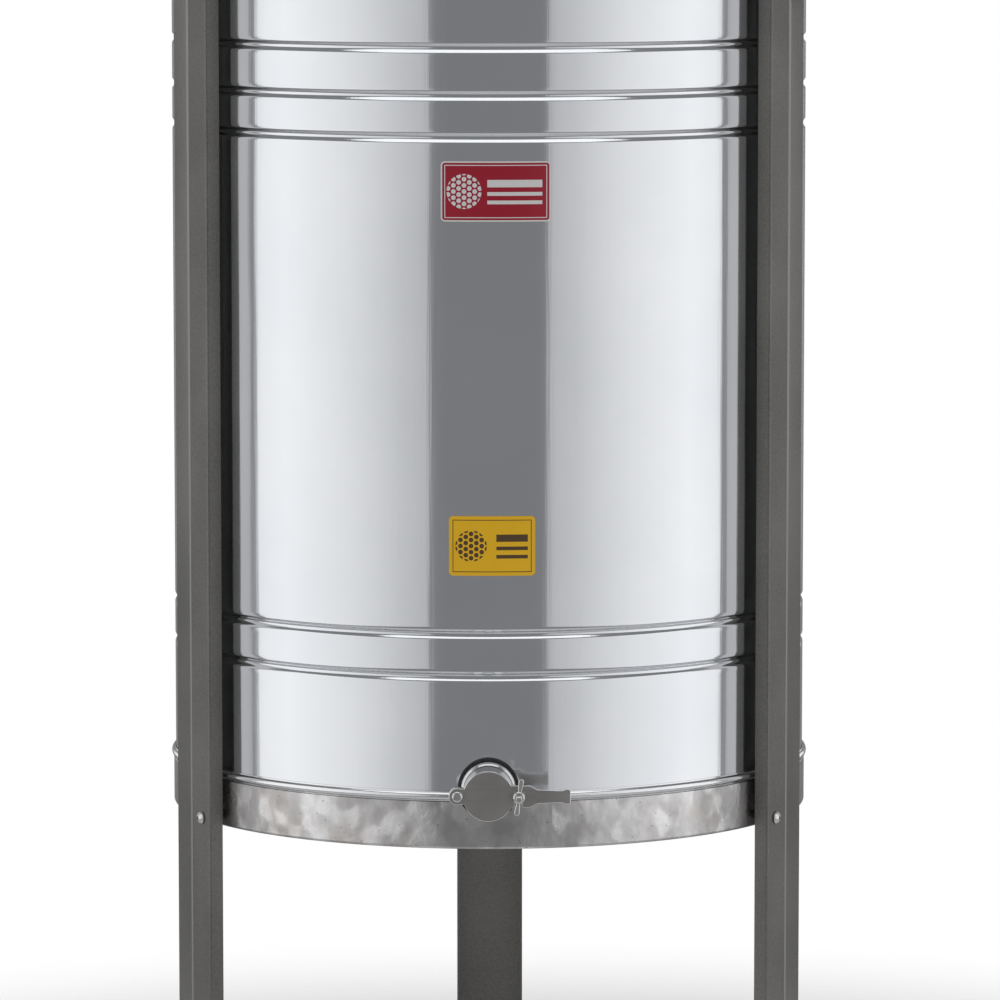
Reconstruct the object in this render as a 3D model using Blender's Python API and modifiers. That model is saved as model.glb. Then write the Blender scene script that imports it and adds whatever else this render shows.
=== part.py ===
"""Hand-cranked honey extractor on three legs, in metres with +Z up.

The front, with the honey gate, faces -Y and the crank is on the +X side. The drum's axis
stands beside the origin, because the origin is on the floor under the middle of the whole
machine, crank and feet included.
"""
import bpy
import bmesh
from math import asin, cos, hypot, pi, radians, sin, sqrt
from mathutils import Matrix, Vector

# General
GAP = 0.0003                 # between pieces that touch
SIDES = 40                   # facets round the drum
SHAFT_SIDES = 16             # facets round shafts, hubs and bores
GATE_SIDES = 24              # facets round the gate's tube
ROUND = 12                   # facets round a bolt

# Drum
DRUM_R = 0.315
SHEET = 0.0012
RIM_TOP = 1.280
BEAD_R = 0.005
GROOVES_UNDER_RIM = (0.114, 0.159, 0.1985)
GROOVES_OVER_SEAM = (0.1557, 0.115)
GROOVE_DEPTH = 0.003
GROOVE_HALF = 0.0055
SEAM_Z = 0.453
SEAM_HALF = 0.005
SEAM_OUT = 0.0035
SKIRT_HEIGHT = 0.0457
SKIRT_OUT = 0.0015
SKIRT_LIP = 0.003
FLOOR_RISE = 0.024
FLOOR_FLANGE = 0.014

# Legs
LEG_ANGLES = {"left": -60.0, "right": 60.0, "back": 180.0}    # from the front, seen from above
LEG_WIDTH = 0.069
LEG_STANDOFF = 0.0048        # from the wall to the flanges' edges, clear of the rim's bead
LEG_DEPTH = 0.0145
LEG_FOLD = 0.0022
LEG_SHEET = 0.0016
LEG_TOP_DROP = 0.008         # from the rim
FOOT_LENGTH = 0.052
FOOT_WIDTH = 0.075
FOOT_T = 0.004
FOOT_HOLE_R = 0.0045
BOLT_R = 0.003
BOLT_HEAD_R = 0.006
BOLT_HEAD_H = 0.0035
NUT_H = 0.004
SPACER_R = 0.006
LOWER_BOLT_RISE = 0.009      # over the skirt's lower edge
LOWER_BOLT_SHIFT = 0.019
UPPER_BOLT_DROP = 0.035      # from the rim

# Honey gate
GATE_RISE = 0.008            # over the seam's middle
GATE_BORE_R = 0.020
GATE_TUBE_WALL = 0.004
GATE_FLANGE_RIM = 0.0022
GATE_FLANGE_T = 0.004
GASKET_RIM = 0.0055
GASKET_T = 0.003
GATE_REACH = 0.045
GATE_EAR_R = 0.008
GATE_EAR_T = 0.010
PIVOT_OUT = 0.0055            # from the tube's side to the pivot's middle
STUD_SIDE = 0.005            # from the tube's side to the stud's middle
STUD_OUT = 0.0185
BLADE_T = 0.004
BLADE_LENGTH = 0.049          # from the stud to the handle's end
BLADE_END_HALF = 0.007
BLADE_WAIST = 0.019          # from the stud
BLADE_WAIST_HALF = 0.0065
BLADE_ROOT_HALF = 0.0105
WING_NUT_HUB_R = 0.005
WING_NUT_HUB_H = 0.008
WING_REACH = 0.0178
WING_HALF = 0.005
WING_T = 0.0025
WING_LEAN = 8.0

# Labels
LABEL_T = 0.0004
LABEL_CORNER = 0.004
RED_LABEL = (0.007, 0.104, 0.057)         # centre across, width, height
RED_LABEL_DROP = 0.249                    # from the rim to its middle
YELLOW_LABEL = (0.0035, 0.082, 0.057)
YELLOW_LABEL_RISE = 0.241                 # over the seam

# Crossbar and lids
BAR_MARGIN = 0.0054         # from the guard's side to the bar's edge
BAR_T = 0.003
BAR_FLANGE = 0.020
BAR_FLANGE_CLEARANCE = 0.0176
TAB_GAP = 0.004
TAB_HALF_WIDTH = 0.030
TAB_DROP = 0.040
TAB_BOLT_DROP = 0.025
HINGE_OFFSET = 0.0065
HINGE_PIN_R = 0.0015
HINGE_BARREL_R = 0.0032
HINGE_HALF_LENGTH = 0.204
HINGE_EAR_T = 0.008
LID_T = 0.002
LID_OVERHANG = 0.0055
LID_EDGE_OFFSET = 0.006
KNOB_R = 0.014
KNOB_H = 0.022
KNOB_FROM_EDGE = 0.053

# Bevel drive
MODULE = 0.0035
PINION_TEETH = 12
GEAR_TEETH = 36
TOOTH_THICKNESS = 0.80       # of half a pitch, which leaves backlash
FACE_START = 0.72            # small end of the teeth, as a share of the cone distance
GEAR_BACKING = 0.0075
JOURNAL_R = 0.008
GEAR_HUB_WALL = 0.008
GEAR_WEB = 0.010             # behind the teeth's large end
GEAR_HUB = (-0.0065, 0.018)  # ahead of and behind the teeth's large end
PINION_HUB_WALL = 0.006
PINION_HUB_LENGTH = 0.0186
PINION_CLEARANCE = 0.0024    # over the top bearing

# Bearings and guard
BEARING_HUB_WALL = 0.010
BEARING_HUB_LENGTH = 0.022
BEARING_POST_HALF = 0.014
BEARING_POST_T = 0.012
BEARING_BASE = (0.036, 0.070, 0.005)
BEARING_CLEARANCE = 0.0045   # from the guard to the inner stand
BEARING_FROM_WALL = 0.033    # from the drum's wall to the outer stand's middle
BUSH_WALL = 0.009
BUSH_FLANGE_RIM = 0.008
BUSH_FLANGE_T = 0.005
BUSH_LENGTH = 0.030
GUARD_T = 0.0015
GUARD_ROOM = 0.004           # between the teeth and the guard
GUARD_DEPTH = 0.024          # from the gear's large end to the guard's inside

# Crank
CRANK_SHAFT_SHORT = 0.005    # of the gear's large end
CRANK_CLEARANCE = 0.0068     # from the crossbar's bolt to the crank's boss
CRANK_BOSS_LENGTH = 0.016
CRANK_BOSS_WALL = 0.008
CRANK_ARM_T = 0.008
CRANK_ARM_HALF = 0.011
CRANK_LENGTH = 0.150
CRANK_PIN_R = 0.005
GRIP_LENGTH = 0.092
GRIP_R = 0.0150
PIN_HEAD_R = 0.008
PIN_HEAD_T = 0.003

# Reel
SHAFT_R = 0.0125
REEL_CLEARANCE = 0.0269      # from the posts' middles to the grooves
REEL_RISE = 0.166            # over the drum's floor
REEL_DROP = 0.075            # from the rim
SPIDER_BAR = 0.010
SPIDER_T = 0.008
ARM_INSET = 0.0008
SPIDER_HUB_WALL = 0.0095
SPIDER_HUB_H = 0.030
FRAME_REST = 0.052
POST_R = 0.005
SCREEN_T = 0.003
SCREEN_CELLS = (3, 5)
SCREEN_BAR = 0.006
COLLAR_WALL = 0.0085
COLLAR_DROP = 0.040          # from the rim
COLLAR_H = 0.014
FOOTSTEP_WALL = 0.0095
FOOTSTEP_H = 0.026
FOOTSTEP_DEPTH = 0.018
FLOOR_PAD_R = 0.030

# Small shapes, shared clearances and the reach of cutters.
PAST = 0.03                 # how far a cutter runs past what it cuts
GROOVE_FLAT = 0.3           # the flat bottom's share of a groove
WALL_ABOVE_SEAM_END = 0.001
SEAM_LAND = 0.0005
LEG_CORNER = 0.002
FOOT_PAST_LEG = 0.0255      # from the leg's corner to the foot's outer edge
FOOT_HOLE_IN = 0.011        # from the foot's outer edge to the floor screw
FOOT_CORNER = 0.006
BOLT_PAST_NUT = 0.002
DOME_TOP = 0.55             # the flat top's share of a domed head
NUT_SHARE = 0.92            # a nut's corners against its bolt's head
GATE_BOLT_HEAD_R = 0.0053
EAR_INTO_TUBE = 0.006
EAR_NECK = 0.8
BLADE_ROOT = 0.009          # from the stud to the handle's start
BLADE_FLARE = 0.014
BLADE_FLARE_RISE = 0.001
BLADE_TIP_R = 0.004
SLOT_PLAY = 0.0012
WING_SINK = 0.2
LABEL_REACH = 0.06          # how far in front and behind the wall a label's outline is cut
HINGE_ROOT = 0.004          # how far the hinge's ears and tongues run onto their sheets
HINGE_PIN_END = 0.003
KNOB_EDGE = 0.005
KNOB_NUT_R = 0.0055
DEDENDUM = 1.25
TOOTH_SLOPE = 0.364         # the tangent of a 20 degree pressure angle
FACE_UNDERCUT = 0.3
GEAR_CHAMFER = 0.003
GEAR_SIDES = 36
GUARD_BORE_ROOM = 0.0025
GRIP_EDGE = 0.006
GRIP_NECK = 0.008
SHAFT_CHAMFER = 0.004
FOOTSTEP_TAPER = 0.004
ARM_SHORT = 0.2

# Colours.
BRUSHED_STEEL = (0.66, 0.67, 0.69)
REEL_STEEL = (0.6, 0.61, 0.62)
BRIGHT_STEEL = (0.75, 0.75, 0.75)
LEG_GREY = (0.30, 0.29, 0.28)
GEAR_IRON = (0.35, 0.35, 0.36)
BLACK = (0.02, 0.02, 0.02)
GATE_BRIGHT = (0.7, 0.7, 0.7)
PLAIN_STEEL = (0.6, 0.6, 0.6)
DARK_STEEL = (0.55, 0.55, 0.56)
DRUM_STEEL = (0.72, 0.73, 0.75)
SEAM_STEEL = (0.70, 0.71, 0.73)
GALVANISED = (0.50, 0.49, 0.49)
CHROME = (0.62, 0.62, 0.62)
BLADE_STEEL = (0.42, 0.41, 0.40)
WING_NUT_STEEL = (0.65, 0.65, 0.65)
BRONZE = (0.45, 0.33, 0.15)
BEARING_GREY = (0.12, 0.13, 0.14)
WOOD = (0.35, 0.18, 0.07)
NYLON = (0.8, 0.8, 0.78)
LABEL_RED = (0.30, 0.008, 0.027)
LABEL_YELLOW = (0.68, 0.37, 0.008)

# Derived places
DRUM_INNER = DRUM_R - SHEET
BEAD_CENTRE_R = DRUM_R - SHEET / 2
GROOVE_HEIGHTS = ([RIM_TOP - drop for drop in GROOVES_UNDER_RIM]
                  + [SEAM_Z + rise for rise in GROOVES_OVER_SEAM])
FLOOR_Z = SEAM_Z - 0.003
FLOOR_TOP = FLOOR_Z + FLOOR_RISE
SKIRT_TOP = SEAM_Z - SEAM_HALF - GAP
SKIRT_BOTTOM = SKIRT_TOP - SKIRT_HEIGHT
LEG_INNER_R = DRUM_R + LEG_STANDOFF
LEG_TOP = RIM_TOP - LEG_TOP_DROP
LOWER_BOLT_Z = SKIRT_BOTTOM + LOWER_BOLT_RISE
UPPER_BOLT_Z = RIM_TOP - UPPER_BOLT_DROP
FOOT_OUTER = LEG_INNER_R + LEG_DEPTH + FOOT_PAST_LEG

GATE_Z = SEAM_Z + GATE_RISE
GATE_TUBE_R = GATE_BORE_R + GATE_TUBE_WALL
GATE_FLANGE_R = GATE_TUBE_R + GATE_FLANGE_RIM
GASKET_R = GATE_TUBE_R + GASKET_RIM
GATE_FACE = DRUM_R + GATE_REACH
PIVOT_X = -GATE_TUBE_R - PIVOT_OUT
STUD_X = GATE_TUBE_R + STUD_SIDE
BLADE_R = GATE_TUBE_R
BLADE_END_X = STUD_X + BLADE_LENGTH
BLADE_WAIST_X = STUD_X + BLADE_WAIST

CONE = hypot(PINION_TEETH, GEAR_TEETH)
GEAR_R = MODULE * GEAR_TEETH / 2
PINION_R = MODULE * PINION_TEETH / 2
GEAR_TIP_R = GEAR_R + MODULE * PINION_TEETH / CONE
PINION_TIP_R = PINION_R + MODULE * GEAR_TEETH / CONE
GUARD_HALF = GEAR_TIP_R + GUARD_ROOM + GUARD_T
GUARD_X = (-PINION_TIP_R - GUARD_ROOM - GUARD_T, PINION_R + GUARD_DEPTH + GUARD_T)

BAR_WIDTH = 2 * (GUARD_HALF + BAR_MARGIN)
BAR_BOTTOM = RIM_TOP + GAP
BAR_TOP = BAR_BOTTOM + BAR_T
BAR_FLANGE_HALF_LENGTH = sqrt(DRUM_R ** 2 - (BAR_WIDTH / 2) ** 2) - BAR_FLANGE_CLEARANCE
TAB_X = BEAD_CENTRE_R + BEAD_R + TAB_GAP
LID_R = DRUM_R + LID_OVERHANG
KNOB_Y = DRUM_R - KNOB_FROM_EDGE

BUSH_R = JOURNAL_R + BUSH_WALL
BUSH_FLANGE_R = BUSH_R + BUSH_FLANGE_RIM
BUSH_BOTTOM = BAR_TOP + GAP + BUSH_FLANGE_T - BUSH_LENGTH
PINION_HUB_Z = BAR_TOP + GAP + BUSH_FLANGE_T + PINION_CLEARANCE
CRANK_Z = PINION_HUB_Z + PINION_HUB_LENGTH + GEAR_R + GEAR_BACKING * PINION_TEETH / CONE
DRIVE_BORE_R = JOURNAL_R + GAP
GEAR_HUB_R = JOURNAL_R + GEAR_HUB_WALL
PINION_HUB_R = JOURNAL_R + PINION_HUB_WALL
BEARING_HUB_R = JOURNAL_R + BEARING_HUB_WALL
BEARING_X = (GUARD_X[1] + BEARING_CLEARANCE + BEARING_BASE[0] / 2, DRUM_R - BEARING_FROM_WALL)

BOLT_END_X = TAB_X + BAR_T + GAP + BOLT_HEAD_H
CRANK_BOSS_R = JOURNAL_R + CRANK_BOSS_WALL
CRANK_BOSS_X = (BOLT_END_X + CRANK_CLEARANCE, BOLT_END_X + CRANK_CLEARANCE + CRANK_BOSS_LENGTH)
CRANK_ARM_X = (CRANK_BOSS_X[0] + (CRANK_BOSS_LENGTH - CRANK_ARM_T) / 2,
               CRANK_BOSS_X[0] + (CRANK_BOSS_LENGTH + CRANK_ARM_T) / 2)
GRIP_X = (CRANK_BOSS_X[1], CRANK_BOSS_X[1] + GRIP_LENGTH)

REEL_HALF = (DRUM_INNER - GROOVE_DEPTH - REEL_CLEARANCE) / sqrt(2)
REEL_BOTTOM = FLOOR_TOP + REEL_RISE
REEL_TOP = RIM_TOP - REEL_DROP
COLLAR_R = SHAFT_R + COLLAR_WALL
COLLAR_Z = (RIM_TOP - COLLAR_DROP - COLLAR_H, RIM_TOP - COLLAR_DROP)
FOOTSTEP_R = SHAFT_R + FOOTSTEP_WALL
SPIDER_HUB_R = SHAFT_R + SPIDER_HUB_WALL

RIGHT_REACH = GRIP_X[1] + GAP + PIN_HEAD_T
LEFT_REACH = BOLT_END_X
FRONT_REACH = GATE_FACE + GAP + BLADE_T + STUD_OUT
AXIS_X = (LEFT_REACH - RIGHT_REACH) / 2
AXIS_Y = (FRONT_REACH - FOOT_OUTER) / 2

for old in list(bpy.data.objects):
    bpy.data.objects.remove(old, do_unlink=True)

PARTS = bpy.data.collections.new("honey_extractor")
CUTTERS = bpy.data.collections.new("cutters")
bpy.context.scene.collection.children.link(PARTS)
bpy.context.scene.collection.children.link(CUTTERS)


def empty(name, place, parent=None):
    """An empty on an axis, which pieces hang on."""
    holder = bpy.data.objects.new(name, None)
    holder.location = place
    holder.parent = parent
    PARTS.objects.link(holder)
    return holder


AXIS = empty("drum_axis", (AXIS_X, AXIS_Y, 0.0))


def finish(name, colour, roughness, metallic):
    """A plain Principled material."""
    made = bpy.data.materials.new(name)
    made.use_nodes = True
    shader = made.node_tree.nodes["Principled BSDF"]
    shader.inputs["Base Color"].default_value = (*colour, 1.0)
    shader.inputs["Roughness"].default_value = roughness
    shader.inputs["Metallic"].default_value = metallic
    return made


STEEL = (0.60, 0.61, 0.62)


def as_part(tool, name, colour=STEEL, roughness=0.3, metallic=1.0, holder=None):
    """Turn a shape into a named piece with its own material, its origin on its holder."""
    tool.name = name
    tool.data.name = name
    tool.hide_render = False
    tool.display_type = "TEXTURED"
    tool.data.materials.clear()
    tool.data.materials.append(finish(name, colour, roughness, metallic))
    CUTTERS.objects.unlink(tool)
    PARTS.objects.link(tool)
    if holder is not None:
        tool.data.transform(Matrix.Translation(-holder.location))
        tool.parent = holder
    tool.data.shade_smooth()
    tool.data.set_sharp_from_angle(angle=radians(35))
    return tool


def shape(mesh):
    """A loose shape, kept as a hidden cutter until as_part names it."""
    tool = bpy.data.objects.new(mesh.name, mesh)
    tool.parent = AXIS
    tool.hide_render = True
    tool.display_type = "WIRE"
    CUTTERS.objects.link(tool)
    return tool


def from_bmesh(bm, name="shape"):
    mesh = bpy.data.meshes.new(name)
    bm.to_mesh(mesh)
    bm.free()
    return shape(mesh)


def box(low, high):
    """A box between two corners."""
    bm = bmesh.new()
    bmesh.ops.create_cube(bm, size=1.0)
    low = Vector(low)
    high = Vector(high)
    bmesh.ops.scale(bm, vec=high - low, verts=bm.verts)
    bmesh.ops.translate(bm, vec=(low + high) / 2, verts=bm.verts)
    return from_bmesh(bm)


def rod(radius, start, end, sides=ROUND, end_radius=None):
    """A round bar, or a cone, from one point to another."""
    start = Vector(start)
    end = Vector(end)
    run = end - start
    bm = bmesh.new()
    bmesh.ops.create_cone(bm, cap_ends=True, segments=sides, radius1=radius,
                          radius2=radius if end_radius is None else end_radius, depth=run.length)
    turn = run.to_track_quat("Z", "Y").to_matrix().to_4x4()
    bmesh.ops.transform(bm, matrix=Matrix.Translation((start + end) / 2) @ turn, verts=bm.verts)
    return from_bmesh(bm)


def turned(profile, sides=ROUND, closed=True):
    """A profile of (radius, height) points turned about Z, down its outer side first."""
    bm = bmesh.new()
    points = [bm.verts.new((radius, 0.0, height)) for radius, height in profile]
    for first, second in zip(points, points[1:]):
        bm.edges.new((first, second))
    if closed:
        bm.edges.new((points[-1], points[0]))
    tool = from_bmesh(bm)
    screw = tool.modifiers.new("turn", "SCREW")
    screw.steps = sides
    screw.render_steps = sides
    screw.use_merge_vertices = True
    screw.merge_threshold = 0.00001
    return applied(tool)


def applied(tool):
    """The shape with its modifiers worked out, as a plain mesh."""
    bpy.context.view_layer.update()
    graph = bpy.context.evaluated_depsgraph_get()
    mesh = bpy.data.meshes.new_from_object(tool.evaluated_get(graph))
    old = tool.data
    tool.modifiers.clear()
    tool.data = mesh
    bpy.data.meshes.remove(old)
    return tool


def prism(outline, low, high, turn=Matrix.Identity(4)):
    """A flat outline filled and extruded from low to high along its own Z, then turned."""
    curve = bpy.data.curves.new("outline", "CURVE")
    curve.dimensions = "2D"
    curve.fill_mode = "BOTH"
    curve.extrude = (high - low) / 2
    spline = curve.splines.new("POLY")
    spline.points.add(len(outline) - 1)
    for point, place in zip(spline.points, outline):
        point.co = (place[0], place[1], 0.0, 1.0)
    spline.use_cyclic_u = True
    drawn = bpy.data.objects.new("outline", curve)
    CUTTERS.objects.link(drawn)
    bpy.context.view_layer.update()
    graph = bpy.context.evaluated_depsgraph_get()
    mesh = bpy.data.meshes.new_from_object(drawn.evaluated_get(graph))
    bpy.data.objects.remove(drawn)
    bm = bmesh.new()
    bm.from_mesh(mesh)
    bpy.data.meshes.remove(mesh)
    bmesh.ops.remove_doubles(bm, verts=bm.verts, dist=0.00001)
    bmesh.ops.translate(bm, vec=(0.0, 0.0, (low + high) / 2), verts=bm.verts)
    bmesh.ops.transform(bm, matrix=turn, verts=bm.verts)
    bmesh.ops.recalc_face_normals(bm, faces=bm.faces)
    return from_bmesh(bm)


def combine(body, tools, operation):
    for tool in tools:
        boolean = body.modifiers.new(operation.lower(), "BOOLEAN")
        boolean.operation = operation
        boolean.solver = "EXACT"
        boolean.object = tool
    applied(body)
    return body


def joined(body, *tools):
    """Welded to the others as one solid."""
    return combine(body, tools, "UNION")


def cut(body, *tools):
    """With the others taken away."""
    return combine(body, tools, "DIFFERENCE")


def common(body, *tools):
    """Only what it shares with the others."""
    return combine(body, tools, "INTERSECT")


def arc(centre, radius, first, last, steps):
    """Points along a round stretch, with the angles in degrees."""
    points = []
    for step in range(steps + 1):
        angle = radians(first + (last - first) * step / steps)
        points.append((centre[0] + radius * cos(angle), centre[1] + radius * sin(angle)))
    return points


def rounded_rectangle(across, up, width, height, corner, steps=3):
    """The outline of a plate with rounded corners."""
    right = across + width / 2 - corner
    left = across - width / 2 + corner
    top = up + height / 2 - corner
    bottom = up - height / 2 + corner
    outline = []
    outline += arc((right, top), corner, 0, 90, steps)
    outline += arc((left, top), corner, 90, 180, steps)
    outline += arc((left, bottom), corner, 180, 270, steps)
    outline += arc((right, bottom), corner, 270, 360, steps)
    return outline


# Standing outlines are drawn as (x, z) and extruded towards the front.
TO_FRONT = Matrix.Rotation(radians(90), 4, "X")
# Outlines drawn as (y, z) and extruded towards +X.
TO_RIGHT = Matrix.Rotation(radians(90), 4, "Z") @ Matrix.Rotation(radians(90), 4, "X")


def leg_turn(angle):
    """Turns what is drawn on the front, at -Y, round to a leg."""
    return Matrix.Rotation(radians(angle), 4, "Z")


# ---------------------------------------------------------------- drum

def groove_points(radius):
    """The wall's side with its rolled grooves, from the top down."""
    points = []
    for centre in GROOVE_HEIGHTS:
        for share, sink in ((1, 0.0), (GROOVE_FLAT, GROOVE_DEPTH), (-GROOVE_FLAT, GROOVE_DEPTH), (-1, 0.0)):
            points.append((radius - sink, centre + GROOVE_HALF * share))
    return points


def build_wall():
    bead_z = RIM_TOP - BEAD_R
    side = asin(SHEET / 2 / BEAD_R) * 180 / pi
    bead = arc((BEAD_CENTRE_R, bead_z), BEAD_R, 270 - side, -90 + side, 6)
    wall_end = SEAM_Z - SEAM_HALF + WALL_ABOVE_SEAM_END
    outer = groove_points(DRUM_R) + [(DRUM_R, wall_end)]
    inner = groove_points(DRUM_INNER) + [(DRUM_INNER, wall_end)]
    wall = turned(bead + outer + inner[::-1], SIDES)
    pipe_hole = rod(GATE_TUBE_R + GAP, (0, -DRUM_R + PAST, GATE_Z), (0, -DRUM_R - PAST, GATE_Z), GATE_SIDES)
    wall = cut(wall, pipe_hole, *upper_bolt_holes(), *tab_bolt_holes())
    return as_part(wall, "drum_wall", DRUM_STEEL, 0.22)


def radial_rod(radius, inner, outer, height, angle, shift=0.0):
    """A round bar pointing out from the drum at a leg's angle."""
    made = rod(radius, (shift, -inner, height), (shift, -outer, height))
    made.data.transform(leg_turn(angle))
    return made


def upper_bolt_holes():
    return [radial_rod(BOLT_R + GAP, DRUM_R - PAST, DRUM_R + PAST, UPPER_BOLT_Z, angle)
            for angle in LEG_ANGLES.values()]


def tab_bolt_holes():
    height = BAR_TOP - TAB_BOLT_DROP
    return [rod(BOLT_R + GAP, (side * (DRUM_R - PAST), 0, height), (side * (TAB_X + PAST), 0, height))
            for side in (-1, 1)]


def gate_clearance():
    """The room that the gate's flange takes out of the seam and the skirt."""
    return rod(GASKET_R + GAP, (0, -DRUM_R + PAST, GATE_Z), (0, -DRUM_R - PAST, GATE_Z), GATE_SIDES)


def build_seam():
    """The rolled seam that closes the wall and the skirt together, outside the wall."""
    inner = DRUM_R + GAP
    profile = arc((inner + SEAM_LAND, SEAM_Z), SEAM_OUT - GAP - SEAM_LAND, 90, -90, 6)
    stretched = [(radius, SEAM_Z + (height - SEAM_Z) * SEAM_HALF / (SEAM_OUT - GAP - SEAM_LAND))
                 for radius, height in profile]
    ring = turned(stretched + [(inner, SEAM_Z - SEAM_HALF), (inner, SEAM_Z + SEAM_HALF)], SIDES)
    return as_part(cut(ring, gate_clearance()), "seam_ring", SEAM_STEEL, 0.25)


def build_skirt():
    """The galvanised band under the seam, with its lower edge drawn in."""
    outer = DRUM_R + SKIRT_OUT
    inner = outer - SHEET
    top = SKIRT_TOP
    lip = SKIRT_BOTTOM + SKIRT_LIP
    profile = [(outer, top), (outer, lip), (outer - SKIRT_LIP / 2, SKIRT_BOTTOM),
               (inner - SKIRT_LIP / 2, SKIRT_BOTTOM), (inner, lip), (inner, top)]
    holes = [radial_rod(BOLT_R + GAP, DRUM_R - PAST, DRUM_R + PAST, LOWER_BOLT_Z, angle, shift)
             for angle, shift in lower_bolts().values()]
    skirt = cut(turned(profile, SIDES), gate_clearance(), *holes)
    return as_part(skirt, "base_skirt", GALVANISED, 0.45)


def build_floor():
    """The drum's floor, a shallow cone that sheds honey to the gate, with a flange turned down."""
    edge = DRUM_INNER - GAP
    low = FLOOR_Z - FLOOR_FLANGE
    profile = [(edge, FLOOR_Z), (edge, low), (edge - SHEET, low), (edge - SHEET, FLOOR_Z - SHEET),
               (FLOOR_PAD_R, FLOOR_TOP - SHEET), (0.0, FLOOR_TOP - SHEET), (0.0, FLOOR_TOP),
               (FLOOR_PAD_R, FLOOR_TOP)]
    top_down = profile[6:] + profile[:6]
    return as_part(turned(top_down, SIDES, closed=False), "drum_floor", BRUSHED_STEEL, 0.3)


# ---------------------------------------------------------------- legs

def lower_bolts():
    """Each leg's angle, and how far its lower bolt stands beside the ridge."""
    return {name: (angle, LOWER_BOLT_SHIFT if angle < 0 else -LOWER_BOLT_SHIFT)
            for name, angle in LEG_ANGLES.items()}


def leg_web_r(shift):
    """How far out the web's outer face is, beside the ridge."""
    return LEG_INNER_R + LEG_DEPTH + LEG_FOLD * (1 - abs(shift) / (LEG_WIDTH / 2))


def leg_outline():
    """The channel's section, open towards the drum, drawn on the front as (x, y)."""
    half = LEG_WIDTH / 2
    corner = LEG_INNER_R + LEG_DEPTH
    ridge = corner + LEG_FOLD
    outer = [(-half, -LEG_INNER_R), (-half, -corner + LEG_CORNER), (-half + LEG_CORNER, -corner),
             (0.0, -ridge), (half - LEG_CORNER, -corner), (half, -corner + LEG_CORNER), (half, -LEG_INNER_R)]
    face = half - LEG_SHEET
    inner = [(face, -LEG_INNER_R), (face, -corner + LEG_CORNER), (0.0, -ridge + LEG_SHEET),
             (-face, -corner + LEG_CORNER), (-face, -LEG_INNER_R)]
    return outer + inner


def build_leg(name, angle):
    leg = prism(leg_outline(), FOOT_T + GAP, LEG_TOP, leg_turn(angle))
    shift = lower_bolts()[name][1]
    cut(leg, radial_rod(BOLT_R + GAP, DRUM_R, DRUM_R + PAST, LOWER_BOLT_Z, angle, shift),
        radial_rod(BOLT_R + GAP, DRUM_R, DRUM_R + PAST, UPPER_BOLT_Z, angle))
    return as_part(leg, "leg_" + name, LEG_GREY, 0.45)


def build_foot(name, angle):
    """The floor plate under a leg, with a hole for a floor screw."""
    inner = FOOT_OUTER - FOOT_LENGTH
    outline = rounded_rectangle(0.0, -(inner + FOOT_OUTER) / 2, FOOT_WIDTH, FOOT_LENGTH, FOOT_CORNER)
    plate = prism(outline, 0.0, FOOT_T, leg_turn(angle))
    hole = rod(FOOT_HOLE_R, (0, -FOOT_OUTER + FOOT_HOLE_IN, -PAST), (0, -FOOT_OUTER + FOOT_HOLE_IN, PAST))
    hole.data.transform(leg_turn(angle))
    return as_part(cut(plate, hole), "foot_plate_" + name, LEG_GREY, 0.5)


def bolt_along(start, head, nut, outward, head_r=BOLT_HEAD_R):
    """A bolt with a domed head outside and its nut inside, along one direction."""
    outward = Vector(outward).normalized()
    start = Vector(start)
    inside = start + outward * nut
    outside = start + outward * head
    shank = rod(BOLT_R, inside - outward * (NUT_H + BOLT_PAST_NUT), outside + outward * BOLT_HEAD_H / 3)
    dome = rod(head_r, outside, outside + outward * BOLT_HEAD_H, ROUND, head_r * DOME_TOP)
    hexagon = rod(head_r * NUT_SHARE, inside - outward * NUT_H, inside, 6)
    return joined(shank, dome, hexagon)


def build_lower_bolt(name, angle, shift):
    skirt_in = sqrt((DRUM_R + SKIRT_OUT - SHEET) ** 2 - shift ** 2) * cos(pi / SIDES) - 3 * GAP
    bolt = bolt_along((shift, 0, LOWER_BOLT_Z), leg_web_r(abs(shift) - BOLT_HEAD_R) + GAP, skirt_in,
                      (0, -1, 0))
    bolt.data.transform(leg_turn(angle))
    return as_part(bolt, "lower_bolt_" + name, BRIGHT_STEEL, 0.2)


def build_spacer(name, angle, shift):
    """The sleeve that keeps the leg off the skirt."""
    inner = sqrt((DRUM_R + SKIRT_OUT) ** 2 - (abs(shift) - SPACER_R) ** 2) + GAP
    outer = leg_web_r(abs(shift) + SPACER_R) - LEG_SHEET - 2 * GAP
    sleeve = radial_rod(SPACER_R, inner, outer, LOWER_BOLT_Z, angle, shift)
    cut(sleeve, radial_rod(BOLT_R + GAP, inner - PAST, outer + PAST, LOWER_BOLT_Z, angle, shift))
    return as_part(sleeve, "leg_spacer_" + name, PLAIN_STEEL, 0.35)


def build_upper_bolt(name, angle):
    """The bolt that holds a leg under the rim, with a shoulder that keeps its distance."""
    wall_in = DRUM_INNER * cos(pi / SIDES) - 2 * GAP
    bolt = bolt_along((0, 0, UPPER_BOLT_Z), leg_web_r(0) + GAP, wall_in, (0, -1, 0))
    shoulder = rod(SPACER_R, (0, -DRUM_R - GAP, UPPER_BOLT_Z),
                   (0, -leg_web_r(SPACER_R) + LEG_SHEET + 2 * GAP, UPPER_BOLT_Z))
    joined(bolt, shoulder)
    bolt.data.transform(leg_turn(angle))
    return as_part(bolt, "upper_bolt_" + name, BRIGHT_STEEL, 0.2)


# ---------------------------------------------------------------- honey gate

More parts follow.
